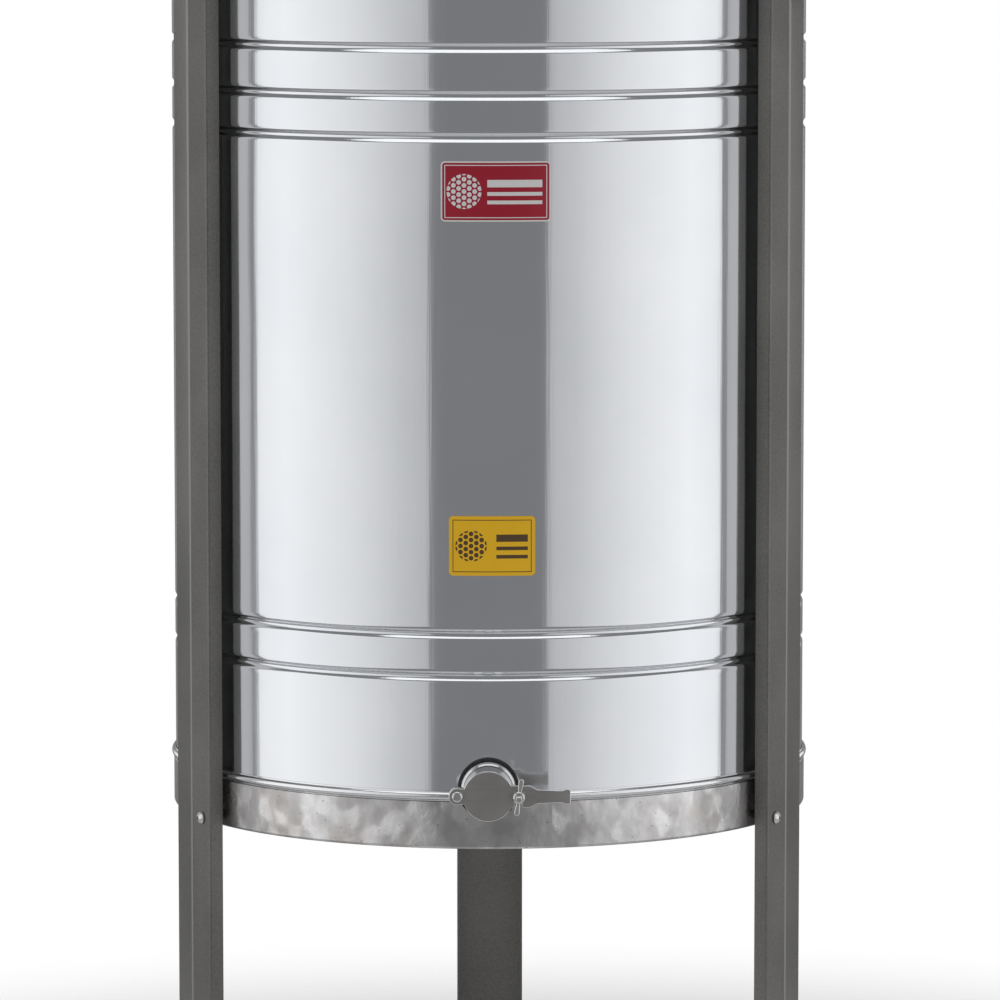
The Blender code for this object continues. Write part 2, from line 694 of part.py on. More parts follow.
def build_gasket():
    front = DRUM_R + GAP + GASKET_T
    ring = rod(GASKET_R, (0, -DRUM_R + PAST, GATE_Z), (0, -front, GATE_Z), GATE_SIDES)
    hole = rod(GATE_TUBE_R + GAP, (0, -DRUM_R + PAST, GATE_Z), (0, -DRUM_R - PAST, GATE_Z), GATE_SIDES)
    drum = rod(DRUM_R + GAP, (0, 0, GATE_Z - GASKET_R - PAST), (0, 0, GATE_Z + GASKET_R + PAST), SIDES)
    return as_part(cut(ring, hole, drum), "gate_gasket", BLACK, 0.7, 0.0)


def gate_ear(across):
    """An eye on the side of the gate's tube."""
    back = -GATE_FACE + GATE_EAR_T
    eye = rod(GATE_EAR_R, (across, back, GATE_Z), (across, -GATE_FACE, GATE_Z))
    inner = GATE_TUBE_R - EAR_INTO_TUBE if across > 0 else -GATE_TUBE_R + EAR_INTO_TUBE
    neck = box((min(across, inner), -GATE_FACE, GATE_Z - GATE_EAR_R * EAR_NECK),
               (max(across, inner), back, GATE_Z + GATE_EAR_R * EAR_NECK))
    return eye, neck


def build_gate_body():
    flange_back = DRUM_R + GASKET_T + 2 * GAP
    tube = rod(GATE_TUBE_R, (0, -DRUM_INNER - GAP, GATE_Z), (0, -GATE_FACE, GATE_Z), GATE_SIDES)
    flange = rod(GATE_FLANGE_R, (0, -flange_back, GATE_Z), (0, -flange_back - GATE_FLANGE_T, GATE_Z),
                 GATE_SIDES)
    joined(tube, flange, *gate_ear(PIVOT_X), *gate_ear(STUD_X))
    cut(tube, rod(GATE_BORE_R, (0, -DRUM_R + PAST, GATE_Z), (0, -GATE_FACE - PAST, GATE_Z), GATE_SIDES),
        rod(BOLT_R + GAP, (PIVOT_X, -DRUM_R, GATE_Z), (PIVOT_X, -GATE_FACE - PAST, GATE_Z)),
        rod(BOLT_R + GAP, (STUD_X, -DRUM_R, GATE_Z), (STUD_X, -GATE_FACE - PAST, GATE_Z)))
    return as_part(tube, "gate_body", CHROME, 0.12)


def build_pivot_bolt():
    bolt = bolt_along((PIVOT_X, 0, GATE_Z), GATE_FACE + BLADE_T + 2 * GAP, GATE_FACE - GATE_EAR_T - GAP,
                      (0, -1, 0), GATE_BOLT_HEAD_R)
    return as_part(bolt, "gate_pivot_bolt", GATE_BRIGHT, 0.15)


def build_stud():
    back = GATE_FACE - GATE_EAR_T - GAP
    stud = rod(BOLT_R, (STUD_X, -back + NUT_H, GATE_Z), (STUD_X, -FRONT_REACH, GATE_Z))
    head = rod(GATE_BOLT_HEAD_R, (STUD_X, -back + NUT_H, GATE_Z), (STUD_X, -back, GATE_Z), 6)
    return as_part(joined(stud, head), "gate_stud", GATE_BRIGHT, 0.15)


def blade_outline():
    """The blade's face as (x, height above the gate's axis): eye, disc, neck and handle."""
    root_angle = asin(BLADE_ROOT_HALF / BLADE_R) * 180 / pi
    handle_top = [(STUD_X + BLADE_ROOT, BLADE_ROOT_HALF), (BLADE_WAIST_X, BLADE_WAIST_HALF),
                  (BLADE_END_X - BLADE_FLARE, BLADE_END_HALF - BLADE_FLARE_RISE)]
    tip_x = BLADE_END_X - BLADE_TIP_R
    tip = arc((tip_x, BLADE_END_HALF - BLADE_TIP_R), BLADE_TIP_R, 90, 0, 3)
    tip += arc((tip_x, -BLADE_END_HALF + BLADE_TIP_R), BLADE_TIP_R, 0, -90, 3)
    handle_low = [(across, -up) for across, up in reversed(handle_top)]
    ear_angle = 40
    disc_low = arc((0, 0), BLADE_R, -root_angle, -180 + ear_angle / 2, 9)
    disc_top = arc((0, 0), BLADE_R, 180 - ear_angle / 2, root_angle, 9)
    eye = arc((PIVOT_X, 0), GATE_EAR_R, 280, 80, 8)
    return handle_top + tip + handle_low + disc_low + eye + disc_top


def build_blade(holder):
    lift = Matrix.Translation((0, 0, GATE_Z)) @ TO_FRONT
    back = GATE_FACE + GAP
    blade = prism(blade_outline(), back, back + BLADE_T, lift)
    slot_half = BOLT_R + GAP
    slot = box((STUD_X - slot_half - SLOT_PLAY, -back - PAST, GATE_Z - PAST),
               (STUD_X + slot_half, -back + PAST, GATE_Z))
    eye = rod(slot_half, (STUD_X, -back + PAST, GATE_Z), (STUD_X, -back - PAST, GATE_Z))
    pin = rod(BOLT_R + GAP, (PIVOT_X, -back + PAST, GATE_Z), (PIVOT_X, -back - PAST, GATE_Z))
    return as_part(cut(blade, slot, eye, pin), "gate_blade", BLADE_STEEL, 0.25, 1.0, holder)


def build_wing_nut(holder):
    base = GATE_FACE + BLADE_T + 2 * GAP
    nut = rod(WING_NUT_HUB_R, (STUD_X, -base, GATE_Z), (STUD_X, -base - WING_NUT_HUB_H, GATE_Z))
    tip = WING_REACH - WING_HALF
    wings = arc((0, tip), WING_HALF, -20, 200, 8) + arc((0, -tip), WING_HALF, 160, 380, 8)
    lean = Matrix.Rotation(radians(WING_LEAN), 4, "Y")
    front = base + WING_NUT_HUB_H - WING_T * WING_SINK
    lift = Matrix.Translation((STUD_X, 0, GATE_Z)) @ lean @ TO_FRONT
    joined(nut, prism(wings, front - WING_T, front, lift))
    cut(nut, rod(BOLT_R + GAP, (STUD_X, -base + PAST, GATE_Z), (STUD_X, -base - PAST, GATE_Z)))
    return as_part(nut, "wing_nut", WING_NUT_STEEL, 0.15, 1.0, holder)


# ---------------------------------------------------------------- labels

def build_label(name, size, up, colour):
    """A thin label that follows the wall's facets."""
    inner = DRUM_R + GAP
    across, width, height = size
    ring = turned([(inner + LABEL_T, up + height), (inner + LABEL_T, up - height),
                   (inner, up - height), (inner, up + height)], SIDES)
    outline = rounded_rectangle(across, up, width, height, LABEL_CORNER)
    window = prism(outline, DRUM_R - LABEL_REACH, DRUM_R + LABEL_REACH, TO_FRONT)
    return as_part(common(ring, window), name, colour, 0.4, 0.0)


# ---------------------------------------------------------------- crossbar and lids

def build_crossbar():
    """The folded bar over the drum, with tabs bolted to the wall and ears for the lids."""
    half = BAR_WIDTH / 2
    flange_bottom = BAR_BOTTOM - BAR_FLANGE
    bar = box((-TAB_X - BAR_T, -half, BAR_BOTTOM), (TAB_X + BAR_T, half, BAR_TOP))
    extras = []
    for side in (-1, 1):
        inner = side * (half - BAR_T)
        extras.append(box((-BAR_FLANGE_HALF_LENGTH, min(side * half, inner), flange_bottom),
                          (BAR_FLANGE_HALF_LENGTH, max(side * half, inner), BAR_TOP - BAR_T / 2)))
        far = side * (TAB_X + BAR_T)
        near = side * TAB_X
        extras.append(box((min(far, near), -TAB_HALF_WIDTH, BAR_TOP - TAB_DROP),
                          (max(far, near), TAB_HALF_WIDTH, BAR_TOP - BAR_T / 2)))
    hinge_y = half + HINGE_OFFSET
    ear_end = hinge_y + HINGE_BARREL_R
    hinge_z = BAR_BOTTOM + HINGE_BARREL_R
    cuts = [rod(BUSH_R + GAP, (0, 0, BAR_BOTTOM - PAST), (0, 0, BAR_TOP + PAST), SHAFT_SIDES)]
    for side in (-1, 1):
        for end in (-1, 1):
            first = end * (HINGE_HALF_LENGTH + GAP)
            last = end * (HINGE_HALF_LENGTH + GAP + HINGE_EAR_T)
            near = side * (half - HINGE_ROOT)
            far = side * ear_end
            extras.append(box((min(first, last), min(near, far), BAR_BOTTOM),
                              (max(first, last), max(near, far), hinge_z + HINGE_BARREL_R)))
        reach = HINGE_HALF_LENGTH + HINGE_EAR_T + PAST
        cuts.append(rod(HINGE_PIN_R + GAP, (-reach, side * hinge_y, hinge_z),
                        (reach, side * hinge_y, hinge_z)))
    joined(bar, *extras)
    cut(bar, *cuts, *tab_bolt_holes())
    return as_part(bar, "crossbar", BRUSHED_STEEL, 0.28)


def build_tab_bolt(name, side):
    wall_in = DRUM_INNER - 3 * GAP
    bolt = bolt_along((0, 0, BAR_TOP - TAB_BOLT_DROP), TAB_X + BAR_T + GAP, wall_in, (side, 0, 0))
    sleeve_start = DRUM_R + GAP
    sleeve_end = TAB_X - GAP
    joined(bolt, rod(SPACER_R, (side * sleeve_start, 0, BAR_TOP - TAB_BOLT_DROP),
                     (side * sleeve_end, 0, BAR_TOP - TAB_BOLT_DROP)))
    return as_part(bolt, "crossbar_bolt_" + name, BRIGHT_STEEL, 0.2)


def lid_place(side):
    """Where a lid's hinge is: how far along Y, and its height."""
    return side * (BAR_WIDTH / 2 + HINGE_OFFSET), BAR_BOTTOM + HINGE_BARREL_R


def build_lid(name, side, holder):
    """A half-moon lid with a rolled hinge barrel along its straight edge."""
    hinge_y, hinge_z = lid_place(side)
    edge = abs(hinge_y) + LID_EDGE_OFFSET
    first = asin(edge / LID_R) * 180 / pi
    moon = arc((0, 0), LID_R, first, 180 - first, 20)
    turn = Matrix.Rotation(pi, 4, "Z") if side < 0 else Matrix.Identity(4)
    lid = prism(moon, BAR_BOTTOM, BAR_BOTTOM + LID_T, turn)
    near = hinge_y
    far = side * (edge + HINGE_ROOT)
    tongue = box((-HINGE_HALF_LENGTH, min(near, far), BAR_BOTTOM),
                 (HINGE_HALF_LENGTH, max(near, far), BAR_BOTTOM + LID_T))
    barrel = rod(HINGE_BARREL_R, (-HINGE_HALF_LENGTH, hinge_y, hinge_z),
                 (HINGE_HALF_LENGTH, hinge_y, hinge_z))
    joined(lid, tongue, barrel)
    reach = HINGE_HALF_LENGTH + HINGE_EAR_T + PAST
    stem_y = side * KNOB_Y
    cut(lid, rod(HINGE_PIN_R + GAP, (-reach, hinge_y, hinge_z), (reach, hinge_y, hinge_z), 12),
        rod(BOLT_R + GAP, (0, stem_y, BAR_BOTTOM - PAST), (0, stem_y, BAR_BOTTOM + PAST)))
    return as_part(lid, "lid_" + name, BRUSHED_STEEL, 0.3, 1.0, holder)


def build_hinge_pin(name, side):
    hinge_y, hinge_z = lid_place(side)
    reach = HINGE_HALF_LENGTH + HINGE_EAR_T + HINGE_PIN_END
    pin = rod(HINGE_PIN_R, (-reach, hinge_y, hinge_z), (reach, hinge_y, hinge_z), 12)
    return as_part(pin, "lid_hinge_pin_" + name, PLAIN_STEEL, 0.25)


def build_knob(name, side, holder):
    """A turned knob whose stem passes through the lid to a nut under it."""
    seat = BAR_BOTTOM + LID_T + GAP
    top = seat + KNOB_H
    under = BAR_BOTTOM - GAP
    profile = [(0.0, top), (KNOB_R * 0.6, top - KNOB_EDGE / 10), (KNOB_R, top - KNOB_EDGE),
               (KNOB_R, top - KNOB_EDGE * 2),
               (KNOB_R * 0.5, seat + KNOB_EDGE), (KNOB_R * 0.7, seat), (BOLT_R, seat), (BOLT_R, under),
               (KNOB_NUT_R, under), (KNOB_NUT_R, under - NUT_H), (0.0, under - NUT_H)]
    knob = turned(profile, SHAFT_SIDES, closed=False)
    knob.data.transform(Matrix.Translation((0, side * KNOB_Y, 0)))
    return as_part(knob, "lid_knob_" + name, BLACK, 0.35, 0.0, holder)


# ---------------------------------------------------------------- bevel drive

def bevel_points(own_teeth, other_teeth):
    """The large end of a bevel wheel as (distance from the apex, radius): tip, root and back."""
    pitch = Vector((MODULE * other_teeth / 2, MODULE * own_teeth / 2))
    along = pitch.normalized()
    across = Vector((-along.y, along.x))
    tip = pitch + across * MODULE
    root = pitch - across * MODULE * DEDENDUM
    back = pitch - across * GEAR_BACKING
    return pitch, tip, root, back


def toothed_cone(own_teeth, other_teeth, phase, small, large):
    """A toothed cone about Z with its apex at the origin, between two shares of its length."""
    pitch, tip, root, _ = bevel_points(own_teeth, other_teeth)
    thickness = pi * MODULE / 2 * TOOTH_THICKNESS
    tip_half = (thickness / 2 - MODULE * TOOTH_SLOPE) / tip.y
    root_half = (thickness / 2 + MODULE * DEDENDUM * TOOTH_SLOPE) / root.y
    tip_r = tip.y * pitch.x / tip.x
    root_r = root.y * pitch.x / root.x
    outline = []
    for tooth in range(own_teeth):
        middle = phase + 2 * pi * tooth / own_teeth
        for angle, radius in ((-root_half, root_r), (-tip_half, tip_r), (tip_half, tip_r),
                              (root_half, root_r)):
            outline.append((radius * cos(middle + angle), radius * sin(middle + angle)))
    bm = bmesh.new()
    ring = [bm.verts.new((across * small, up * small, pitch.x * small)) for across, up in outline]
    base = bm.faces.new(ring)
    grown = bmesh.ops.extrude_face_region(bm, geom=[base])["geom"]
    raised = [item for item in grown if isinstance(item, bmesh.types.BMVert)]
    bmesh.ops.scale(bm, vec=(large / small,) * 3, verts=raised)
    bmesh.ops.recalc_face_normals(bm, faces=bm.faces)
    return from_bmesh(bm)


def build_gear(holder):
    """The large bevel wheel on the crank shaft, its teeth facing the reel's shaft."""
    _, tip, root, back = bevel_points(GEAR_TEETH, PINION_TEETH)
    hub_front = PINION_R + GEAR_HUB[0]
    hub_back = PINION_R + GEAR_HUB[1]
    web_back = PINION_R + GEAR_WEB
    small_tip = tip * FACE_START
    small_root = (root + (back - root) * FACE_UNDERCUT) * FACE_START
    profile = [(DRIVE_BORE_R, hub_back), (GEAR_HUB_R, hub_back), (GEAR_HUB_R, web_back),
               (back.y - GEAR_CHAMFER, web_back), (back.y, back.x), (tip.y, tip.x),
               (small_tip.y, small_tip.x), (small_root.y, small_root.x), (GEAR_HUB_R, small_root.x),
               (GEAR_HUB_R, hub_front), (DRIVE_BORE_R, hub_front)]
    blank = turned(profile, GEAR_SIDES)
    common(blank, toothed_cone(GEAR_TEETH, PINION_TEETH, pi, 0.5, 1.95))
    blank.data.transform(Matrix.Translation((0, 0, CRANK_Z)) @ Matrix.Rotation(pi / 2, 4, "Y"))
    return as_part(blank, "crank_gear", GEAR_IRON, 0.35, 1.0, holder)


def build_pinion(holder):
    """The small bevel wheel on top of the reel's shaft."""
    _, tip, _, back = bevel_points(PINION_TEETH, GEAR_TEETH)
    small_tip = tip * FACE_START
    hub_end = CRANK_Z - PINION_HUB_Z
    profile = [(DRIVE_BORE_R, hub_end), (PINION_HUB_R, hub_end), (PINION_HUB_R, back.x), (back.y, back.x),
               (tip.y, tip.x), (small_tip.y, small_tip.x), (DRIVE_BORE_R, small_tip.x)]
    blank = turned(profile, GEAR_SIDES)
    common(blank, toothed_cone(PINION_TEETH, GEAR_TEETH, pi / PINION_TEETH, 0.5, 1.5))
    blank.data.transform(Matrix.Translation((0, 0, CRANK_Z)) @ Matrix.Rotation(pi, 4, "X"))
    return as_part(blank, "reel_pinion", GEAR_IRON, 0.35, 1.0, holder)


def build_bush():
    """The flanged bearing in the crossbar that holds the top of the reel's shaft."""
    top = BAR_TOP + GAP + BUSH_FLANGE_T
    under = BAR_TOP + GAP
    low = BUSH_BOTTOM
    bore = JOURNAL_R + GAP
    profile = [(bore, top), (BUSH_FLANGE_R, top), (BUSH_FLANGE_R, under), (BUSH_R, under), (BUSH_R, low),
               (bore, low)]
    return as_part(turned(profile, SHAFT_SIDES), "top_bearing", BRONZE, 0.35)


def build_crank_bearing(name, centre):
    """A bearing stand on the crossbar for the crank's shaft."""
    length, width, thick = BEARING_BASE
    bottom = BAR_TOP + GAP
    base = box((centre - length / 2, -width / 2, bottom), (centre + length / 2, width / 2, bottom + thick))
    post = box((centre - BEARING_POST_T / 2, -BEARING_POST_HALF, bottom),
               (centre + BEARING_POST_T / 2, BEARING_POST_HALF, CRANK_Z))
    hub = rod(BEARING_HUB_R, (centre - BEARING_HUB_LENGTH / 2, 0, CRANK_Z),
              (centre + BEARING_HUB_LENGTH / 2, 0, CRANK_Z), SHAFT_SIDES)
    joined(base, post, hub)
    cut(base, rod(JOURNAL_R + GAP, (centre - PAST, 0, CRANK_Z), (centre + PAST, 0, CRANK_Z), SHAFT_SIDES))
    return as_part(base, "crank_bearing_" + name, BEARING_GREY, 0.5)


def guard_outline(half):
    """The guard's arch as (y, z), straight sides under a half circle."""
    return arc((0, CRANK_Z), half, 0, 180, 16)


def build_guard():
    """The cover over the bevel gears, open underneath."""
    bottom = BAR_TOP + GAP
    outer = guard_outline(GUARD_HALF) + [(-GUARD_HALF, bottom), (GUARD_HALF, bottom)]
    inner_half = GUARD_HALF - GUARD_T
    inner = guard_outline(inner_half) + [(-inner_half, bottom - PAST), (inner_half, bottom - PAST)]
    cover = prism(outer, GUARD_X[0], GUARD_X[1], TO_RIGHT)
    cut(cover, prism(inner, GUARD_X[0] + GUARD_T, GUARD_X[1] - GUARD_T, TO_RIGHT),
        rod(JOURNAL_R + GUARD_BORE_ROOM, (0, 0, CRANK_Z), (GUARD_X[1] + PAST, 0, CRANK_Z)))
    return as_part(cover, "gear_guard", BRUSHED_STEEL, 0.3)


# ---------------------------------------------------------------- crank

def build_crank_shaft(holder):
    shaft = rod(JOURNAL_R, (PINION_R - CRANK_SHAFT_SHORT, 0, CRANK_Z), (CRANK_BOSS_X[1], 0, CRANK_Z),
                SHAFT_SIDES)
    return as_part(shaft, "crank_shaft", PLAIN_STEEL, 0.25, 1.0, holder)


def build_crank_arm(holder):
    """The arm that hangs from the crank's shaft, with the grip's pin riveted into it."""
    low = CRANK_Z - CRANK_LENGTH
    arm = rod(CRANK_BOSS_R, (CRANK_BOSS_X[0], 0, CRANK_Z), (CRANK_BOSS_X[1], 0, CRANK_Z), SHAFT_SIDES)
    bar = box((CRANK_ARM_X[0], -CRANK_ARM_HALF, low), (CRANK_ARM_X[1], CRANK_ARM_HALF, CRANK_Z))
    eye = rod(CRANK_ARM_HALF, (CRANK_ARM_X[0], 0, low), (CRANK_ARM_X[1], 0, low), SHAFT_SIDES)
    pin = rod(CRANK_PIN_R, (CRANK_ARM_X[0] + CRANK_ARM_T / 4, 0, low), (RIGHT_REACH - PIN_HEAD_T / 3, 0, low))
    head = rod(PIN_HEAD_R, (GRIP_X[1] + GAP, 0, low), (RIGHT_REACH, 0, low))
    joined(arm, bar, eye, pin, head)
    cut(arm, rod(JOURNAL_R + GAP, (CRANK_BOSS_X[0] - PAST, 0, CRANK_Z), (CRANK_BOSS_X[1] + PAST, 0, CRANK_Z),
                 SHAFT_SIDES))
    return as_part(arm, "crank_arm", DARK_STEEL, 0.3, 1.0, holder)


def build_grip(holder):
    """A turned handle that spins on the crank's pin."""
    start, end = GRIP_X
    length = end - start
    bore = CRANK_PIN_R + GAP
    outline = [(bore, end), (GRIP_R * 0.8, end), (GRIP_R, end - GRIP_EDGE),
               (GRIP_R * 0.93, end - length * 0.35), (GRIP_R, end - length * 0.7),
               (GRIP_R * 0.75, start + GRIP_NECK), (GRIP_R * 0.72, start),
               (bore, start)]
    grip = turned(outline, SHAFT_SIDES)
    low = CRANK_Z - CRANK_LENGTH
    grip.data.transform(Matrix.Translation((0, 0, low)) @ Matrix.Rotation(pi / 2, 4, "Y"))
    return as_part(grip, "crank_grip", WOOD, 0.45, 0.0, holder)


# ---------------------------------------------------------------- reel

def build_reel_shaft(holder):
    bottom = FLOOR_TOP + GAP + FOOTSTEP_H - FOOTSTEP_DEPTH + GAP
    shoulder = BUSH_BOTTOM - GAP
    tip = bevel_points(PINION_TEETH, GEAR_TEETH)[1]
    top = CRANK_Z - tip.x * FACE_START
    profile = [(0.0, top), (JOURNAL_R, top), (JOURNAL_R, shoulder), (SHAFT_R, shoulder),
               (SHAFT_R, bottom + SHAFT_CHAMFER), (SHAFT_R - SHAFT_CHAMFER, bottom), (0.0, bottom)]
    return as_part(turned(profile, SHAFT_SIDES, closed=False), "reel_shaft", REEL_STEEL, 0.25, 1.0, holder)


def build_spider(name, bottom, rail, holder):
    """A hub, four arms to the corners and a square of rails."""
    top = bottom + SPIDER_T
    hub_low = bottom if name == "bottom_spider" else top - SPIDER_HUB_H
    hub = rod(SPIDER_HUB_R, (0, 0, hub_low), (0, 0, hub_low + SPIDER_HUB_H), SHAFT_SIDES)
    reach = (REEL_HALF - SPIDER_BAR * ARM_SHORT) * sqrt(2)
    outer = REEL_HALF + SPIDER_BAR / 2
    inner = outer - rail
    ring = cut(box((-outer, -outer, bottom), (outer, outer, top)),
               box((-inner, -inner, bottom - PAST), (inner, inner, top + PAST)))
    extras = [ring]
    for angle in (45, 135):
        arm = box((-reach, -SPIDER_BAR / 2, bottom + ARM_INSET), (reach, SPIDER_BAR / 2, top - ARM_INSET))
        arm.data.transform(Matrix.Rotation(radians(angle), 4, "Z"))
        extras.append(arm)
    joined(hub, *extras)
    cut(hub, rod(SHAFT_R + GAP, (0, 0, hub_low - PAST), (0, 0, hub_low + SPIDER_HUB_H + PAST), SHAFT_SIDES))
    return as_part(hub, name, REEL_STEEL, 0.3, 1.0, holder)


def build_post(number, holder):
    angle = radians(45 + 90 * number)
    centre = REEL_HALF * sqrt(2)
    place = (centre * cos(angle), centre * sin(angle))
    low = REEL_BOTTOM + SPIDER_T + GAP
    post = rod(POST_R, (*place, low), (*place, REEL_TOP - GAP), 16)
    return as_part(post, "corner_post_" + str(number + 1), REEL_STEEL, 0.3, 1.0, holder)


def build_screen(number, holder):
    """One side's screen, a grid of bars that a comb frame leans on."""
    width = 2 * (REEL_HALF - POST_R - 2 * GAP)
    low = REEL_BOTTOM + SPIDER_T + GAP
    high = REEL_TOP - GAP
    across, up = SCREEN_CELLS
    bm = bmesh.new()
    bmesh.ops.create_grid(bm, x_segments=across, y_segments=up, size=0.5)
    bmesh.ops.scale(bm, vec=(width, high - low, 1.0), verts=bm.verts)
    cells = bmesh.ops.inset_individual(bm, faces=list(bm.faces), thickness=SCREEN_BAR / 2)["faces"]
    middle = [face for face in bm.faces if face not in set(cells)]
    bmesh.ops.delete(bm, geom=middle, context="FACES")
    stand = Matrix.Rotation(pi / 2, 4, "X")
    turn = Matrix.Rotation(radians(90 * number), 4, "Z")
    place = Matrix.Translation((0, -REEL_HALF, (low + high) / 2))
    bmesh.ops.transform(bm, matrix=turn @ place @ stand, verts=bm.verts)
    screen = from_bmesh(bm)
    thick = screen.modifiers.new("thickness", "SOLIDIFY")
    thick.thickness = SCREEN_T
    thick.offset = 0.0
    applied(screen)
    return as_part(screen, "screen_" + str(number + 1), REEL_STEEL, 0.3, 1.0, holder)


def build_collar(holder):
    low, high = COLLAR_Z
    bore = SHAFT_R + GAP
    profile = [(bore, high), (COLLAR_R, high), (COLLAR_R, low), (bore, low)]
    return as_part(turned(profile, SHAFT_SIDES), "shaft_collar", DARK_STEEL, 0.3, 1.0, holder)


def build_footstep():
    """The bearing on the drum's floor that the reel stands in."""
    low = FLOOR_TOP + GAP
    high = low + FOOTSTEP_H
    pocket = high - FOOTSTEP_DEPTH
    bore = SHAFT_R + GAP
    profile = [(0.0, pocket), (bore - SHAFT_CHAMFER, pocket), (bore, pocket + SHAFT_CHAMFER), (bore, high),
               (FOOTSTEP_R, high), (FOOTSTEP_R + FOOTSTEP_TAPER, low), (0.0, low)]
    return as_part(turned(profile, SHAFT_SIDES, closed=False), "footstep_bearing", NYLON, 0.5, 0.0)


def build():
    reel = empty("reel_axis", (0, 0, 0), AXIS)
    crank = empty("crank_axis", (0, 0, CRANK_Z), AXIS)
    grip = empty("grip_axis", (0, 0, CRANK_Z - CRANK_LENGTH), AXIS)
    blade = empty("gate_pivot_axis", (PIVOT_X, 0, GATE_Z), AXIS)
    stud = empty("gate_stud_axis", (STUD_X, 0, GATE_Z), AXIS)
    build_wall()
    build_seam()
    build_skirt()
    build_floor()
    for name, angle in LEG_ANGLES.items():
        shift = lower_bolts()[name][1]
        build_leg(name, angle)
        build_foot(name, angle)
        build_lower_bolt(name, angle, shift)
        build_spacer(name, angle, shift)
        build_upper_bolt(name, angle)
    build_gasket()
    build_gate_body()
    build_pivot_bolt()
    build_stud()
    build_blade(blade)
    build_wing_nut(stud)
    build_label("red_label", RED_LABEL, RIM_TOP - RED_LABEL_DROP, LABEL_RED)
    build_label("yellow_label", YELLOW_LABEL, SEAM_Z + YELLOW_LABEL_RISE, LABEL_YELLOW)
    build_crossbar()
    for name, side in (("left", -1), ("right", 1)):
        build_tab_bolt(name, side)
    for name, side in (("front", -1), ("back", 1)):
        hinge_y, hinge_z = lid_place(side)
        hinge = empty("lid_hinge_axis_" + name, (0, hinge_y, hinge_z), AXIS)
        build_hinge_pin(name, side)
        build_lid(name, side, hinge)
        build_knob(name, side, hinge)
    build_bush()
    build_crank_bearing("inner", BEARING_X[0])
    build_crank_bearing("outer", BEARING_X[1])
    build_guard()
    build_gear(crank)
    build_pinion(reel)
    build_crank_shaft(crank)
    build_crank_arm(crank)
    build_grip(grip)
    build_reel_shaft(reel)
    build_spider("top_spider", REEL_TOP, SPIDER_BAR, reel)
    build_spider("bottom_spider", REEL_BOTTOM, FRAME_REST + SPIDER_BAR, reel)
    for number in range(4):
        build_post(number, reel)
        build_screen(number, reel)
    build_collar(reel)
    build_footstep()


build()
for spare in list(CUTTERS.objects):
    bpy.data.objects.remove(spare, do_unlink=True)
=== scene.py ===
import bpy
from math import asin, cos, degrees, pi, radians, sin, sqrt
from mathutils import Matrix, Vector


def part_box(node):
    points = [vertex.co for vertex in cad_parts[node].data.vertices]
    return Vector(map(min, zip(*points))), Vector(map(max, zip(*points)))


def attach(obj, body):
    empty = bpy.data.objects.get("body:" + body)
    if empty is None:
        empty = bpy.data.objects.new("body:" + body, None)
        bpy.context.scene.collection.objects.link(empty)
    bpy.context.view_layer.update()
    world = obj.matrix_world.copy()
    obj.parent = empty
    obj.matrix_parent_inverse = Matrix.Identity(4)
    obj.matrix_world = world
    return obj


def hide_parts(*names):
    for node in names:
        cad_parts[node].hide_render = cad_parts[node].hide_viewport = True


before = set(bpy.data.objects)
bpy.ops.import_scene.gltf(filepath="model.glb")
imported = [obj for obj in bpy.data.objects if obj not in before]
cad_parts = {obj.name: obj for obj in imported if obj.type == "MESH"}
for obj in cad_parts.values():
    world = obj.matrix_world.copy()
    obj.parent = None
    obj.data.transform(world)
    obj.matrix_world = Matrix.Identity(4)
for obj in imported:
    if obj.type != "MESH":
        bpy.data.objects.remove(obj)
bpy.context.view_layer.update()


# The studio: a pale floor that fades into a white room, seen from the front and a little above.
# Two tall soft panels stand left and right of the camera, brighter towards their far ends, and
# leave a darker gap between them. A soft ceiling panel and two weak rear ones fill the rest.
wall_low, wall_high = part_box("drum_wall")
axis_x = (wall_low.x + wall_high.x) / 2
axis_y = (wall_low.y + wall_high.y) / 2
drum_middle = Vector((axis_x, axis_y, 0))

camera_data = bpy.data.cameras.new("camera")
camera_data.lens = 216.4
camera_data.sensor_width = 36.0
camera = bpy.data.objects.new("camera", camera_data)
camera.location = drum_middle + Vector((0.011, -5.985, 1.38))
aim = drum_middle + Vector((0.011, 0, 0.7024))
camera.rotation_euler = (aim - camera.location).to_track_quat("-Z", "Y").to_euler()
bpy.context.scene.collection.objects.link(camera)
bpy.context.scene.camera = camera
bpy.context.scene.view_settings.view_transform = "Standard"


def soft_panel(name, middle, look_at, width, height, radiance, ramp=None):
    """An area light with an even glow, or one that changes across its width."""
    data = bpy.data.lights.new(name, "AREA")
    data.shape = "RECTANGLE"
    data.size = width
    data.size_y = height
    data.energy = radiance * width * height * pi
    light = bpy.data.objects.new(name, data)
    light.location = middle
    light.rotation_euler = (Vector(look_at) - Vector(middle)).to_track_quat("-Z", "Y").to_euler()
    bpy.context.scene.collection.objects.link(light)
    if ramp:
        data.use_nodes = True
        nodes = data.node_tree.nodes
        links = data.node_tree.links
        place = nodes.new("ShaderNodeNewGeometry")
        split = nodes.new("ShaderNodeSeparateXYZ")
        fade = nodes.new("ShaderNodeValToRGB")
        links.new(place.outputs["Parametric"], split.inputs[0])
        links.new(split.outputs["X"], fade.inputs[0])
        stops = fade.color_ramp.elements
        stops[0].position = ramp[0][0]
        stops[0].color = (ramp[0][1],) * 3 + (1,)
        stops[1].position = ramp[-1][0]
        stops[1].color = (ramp[-1][1],) * 3 + (1,)
        for position, level in ramp[1:-1]:
            stops.new(position).color = (level, level, level, 1)
        links.new(fade.outputs["Color"], nodes["Emission"].inputs["Color"])
    return light


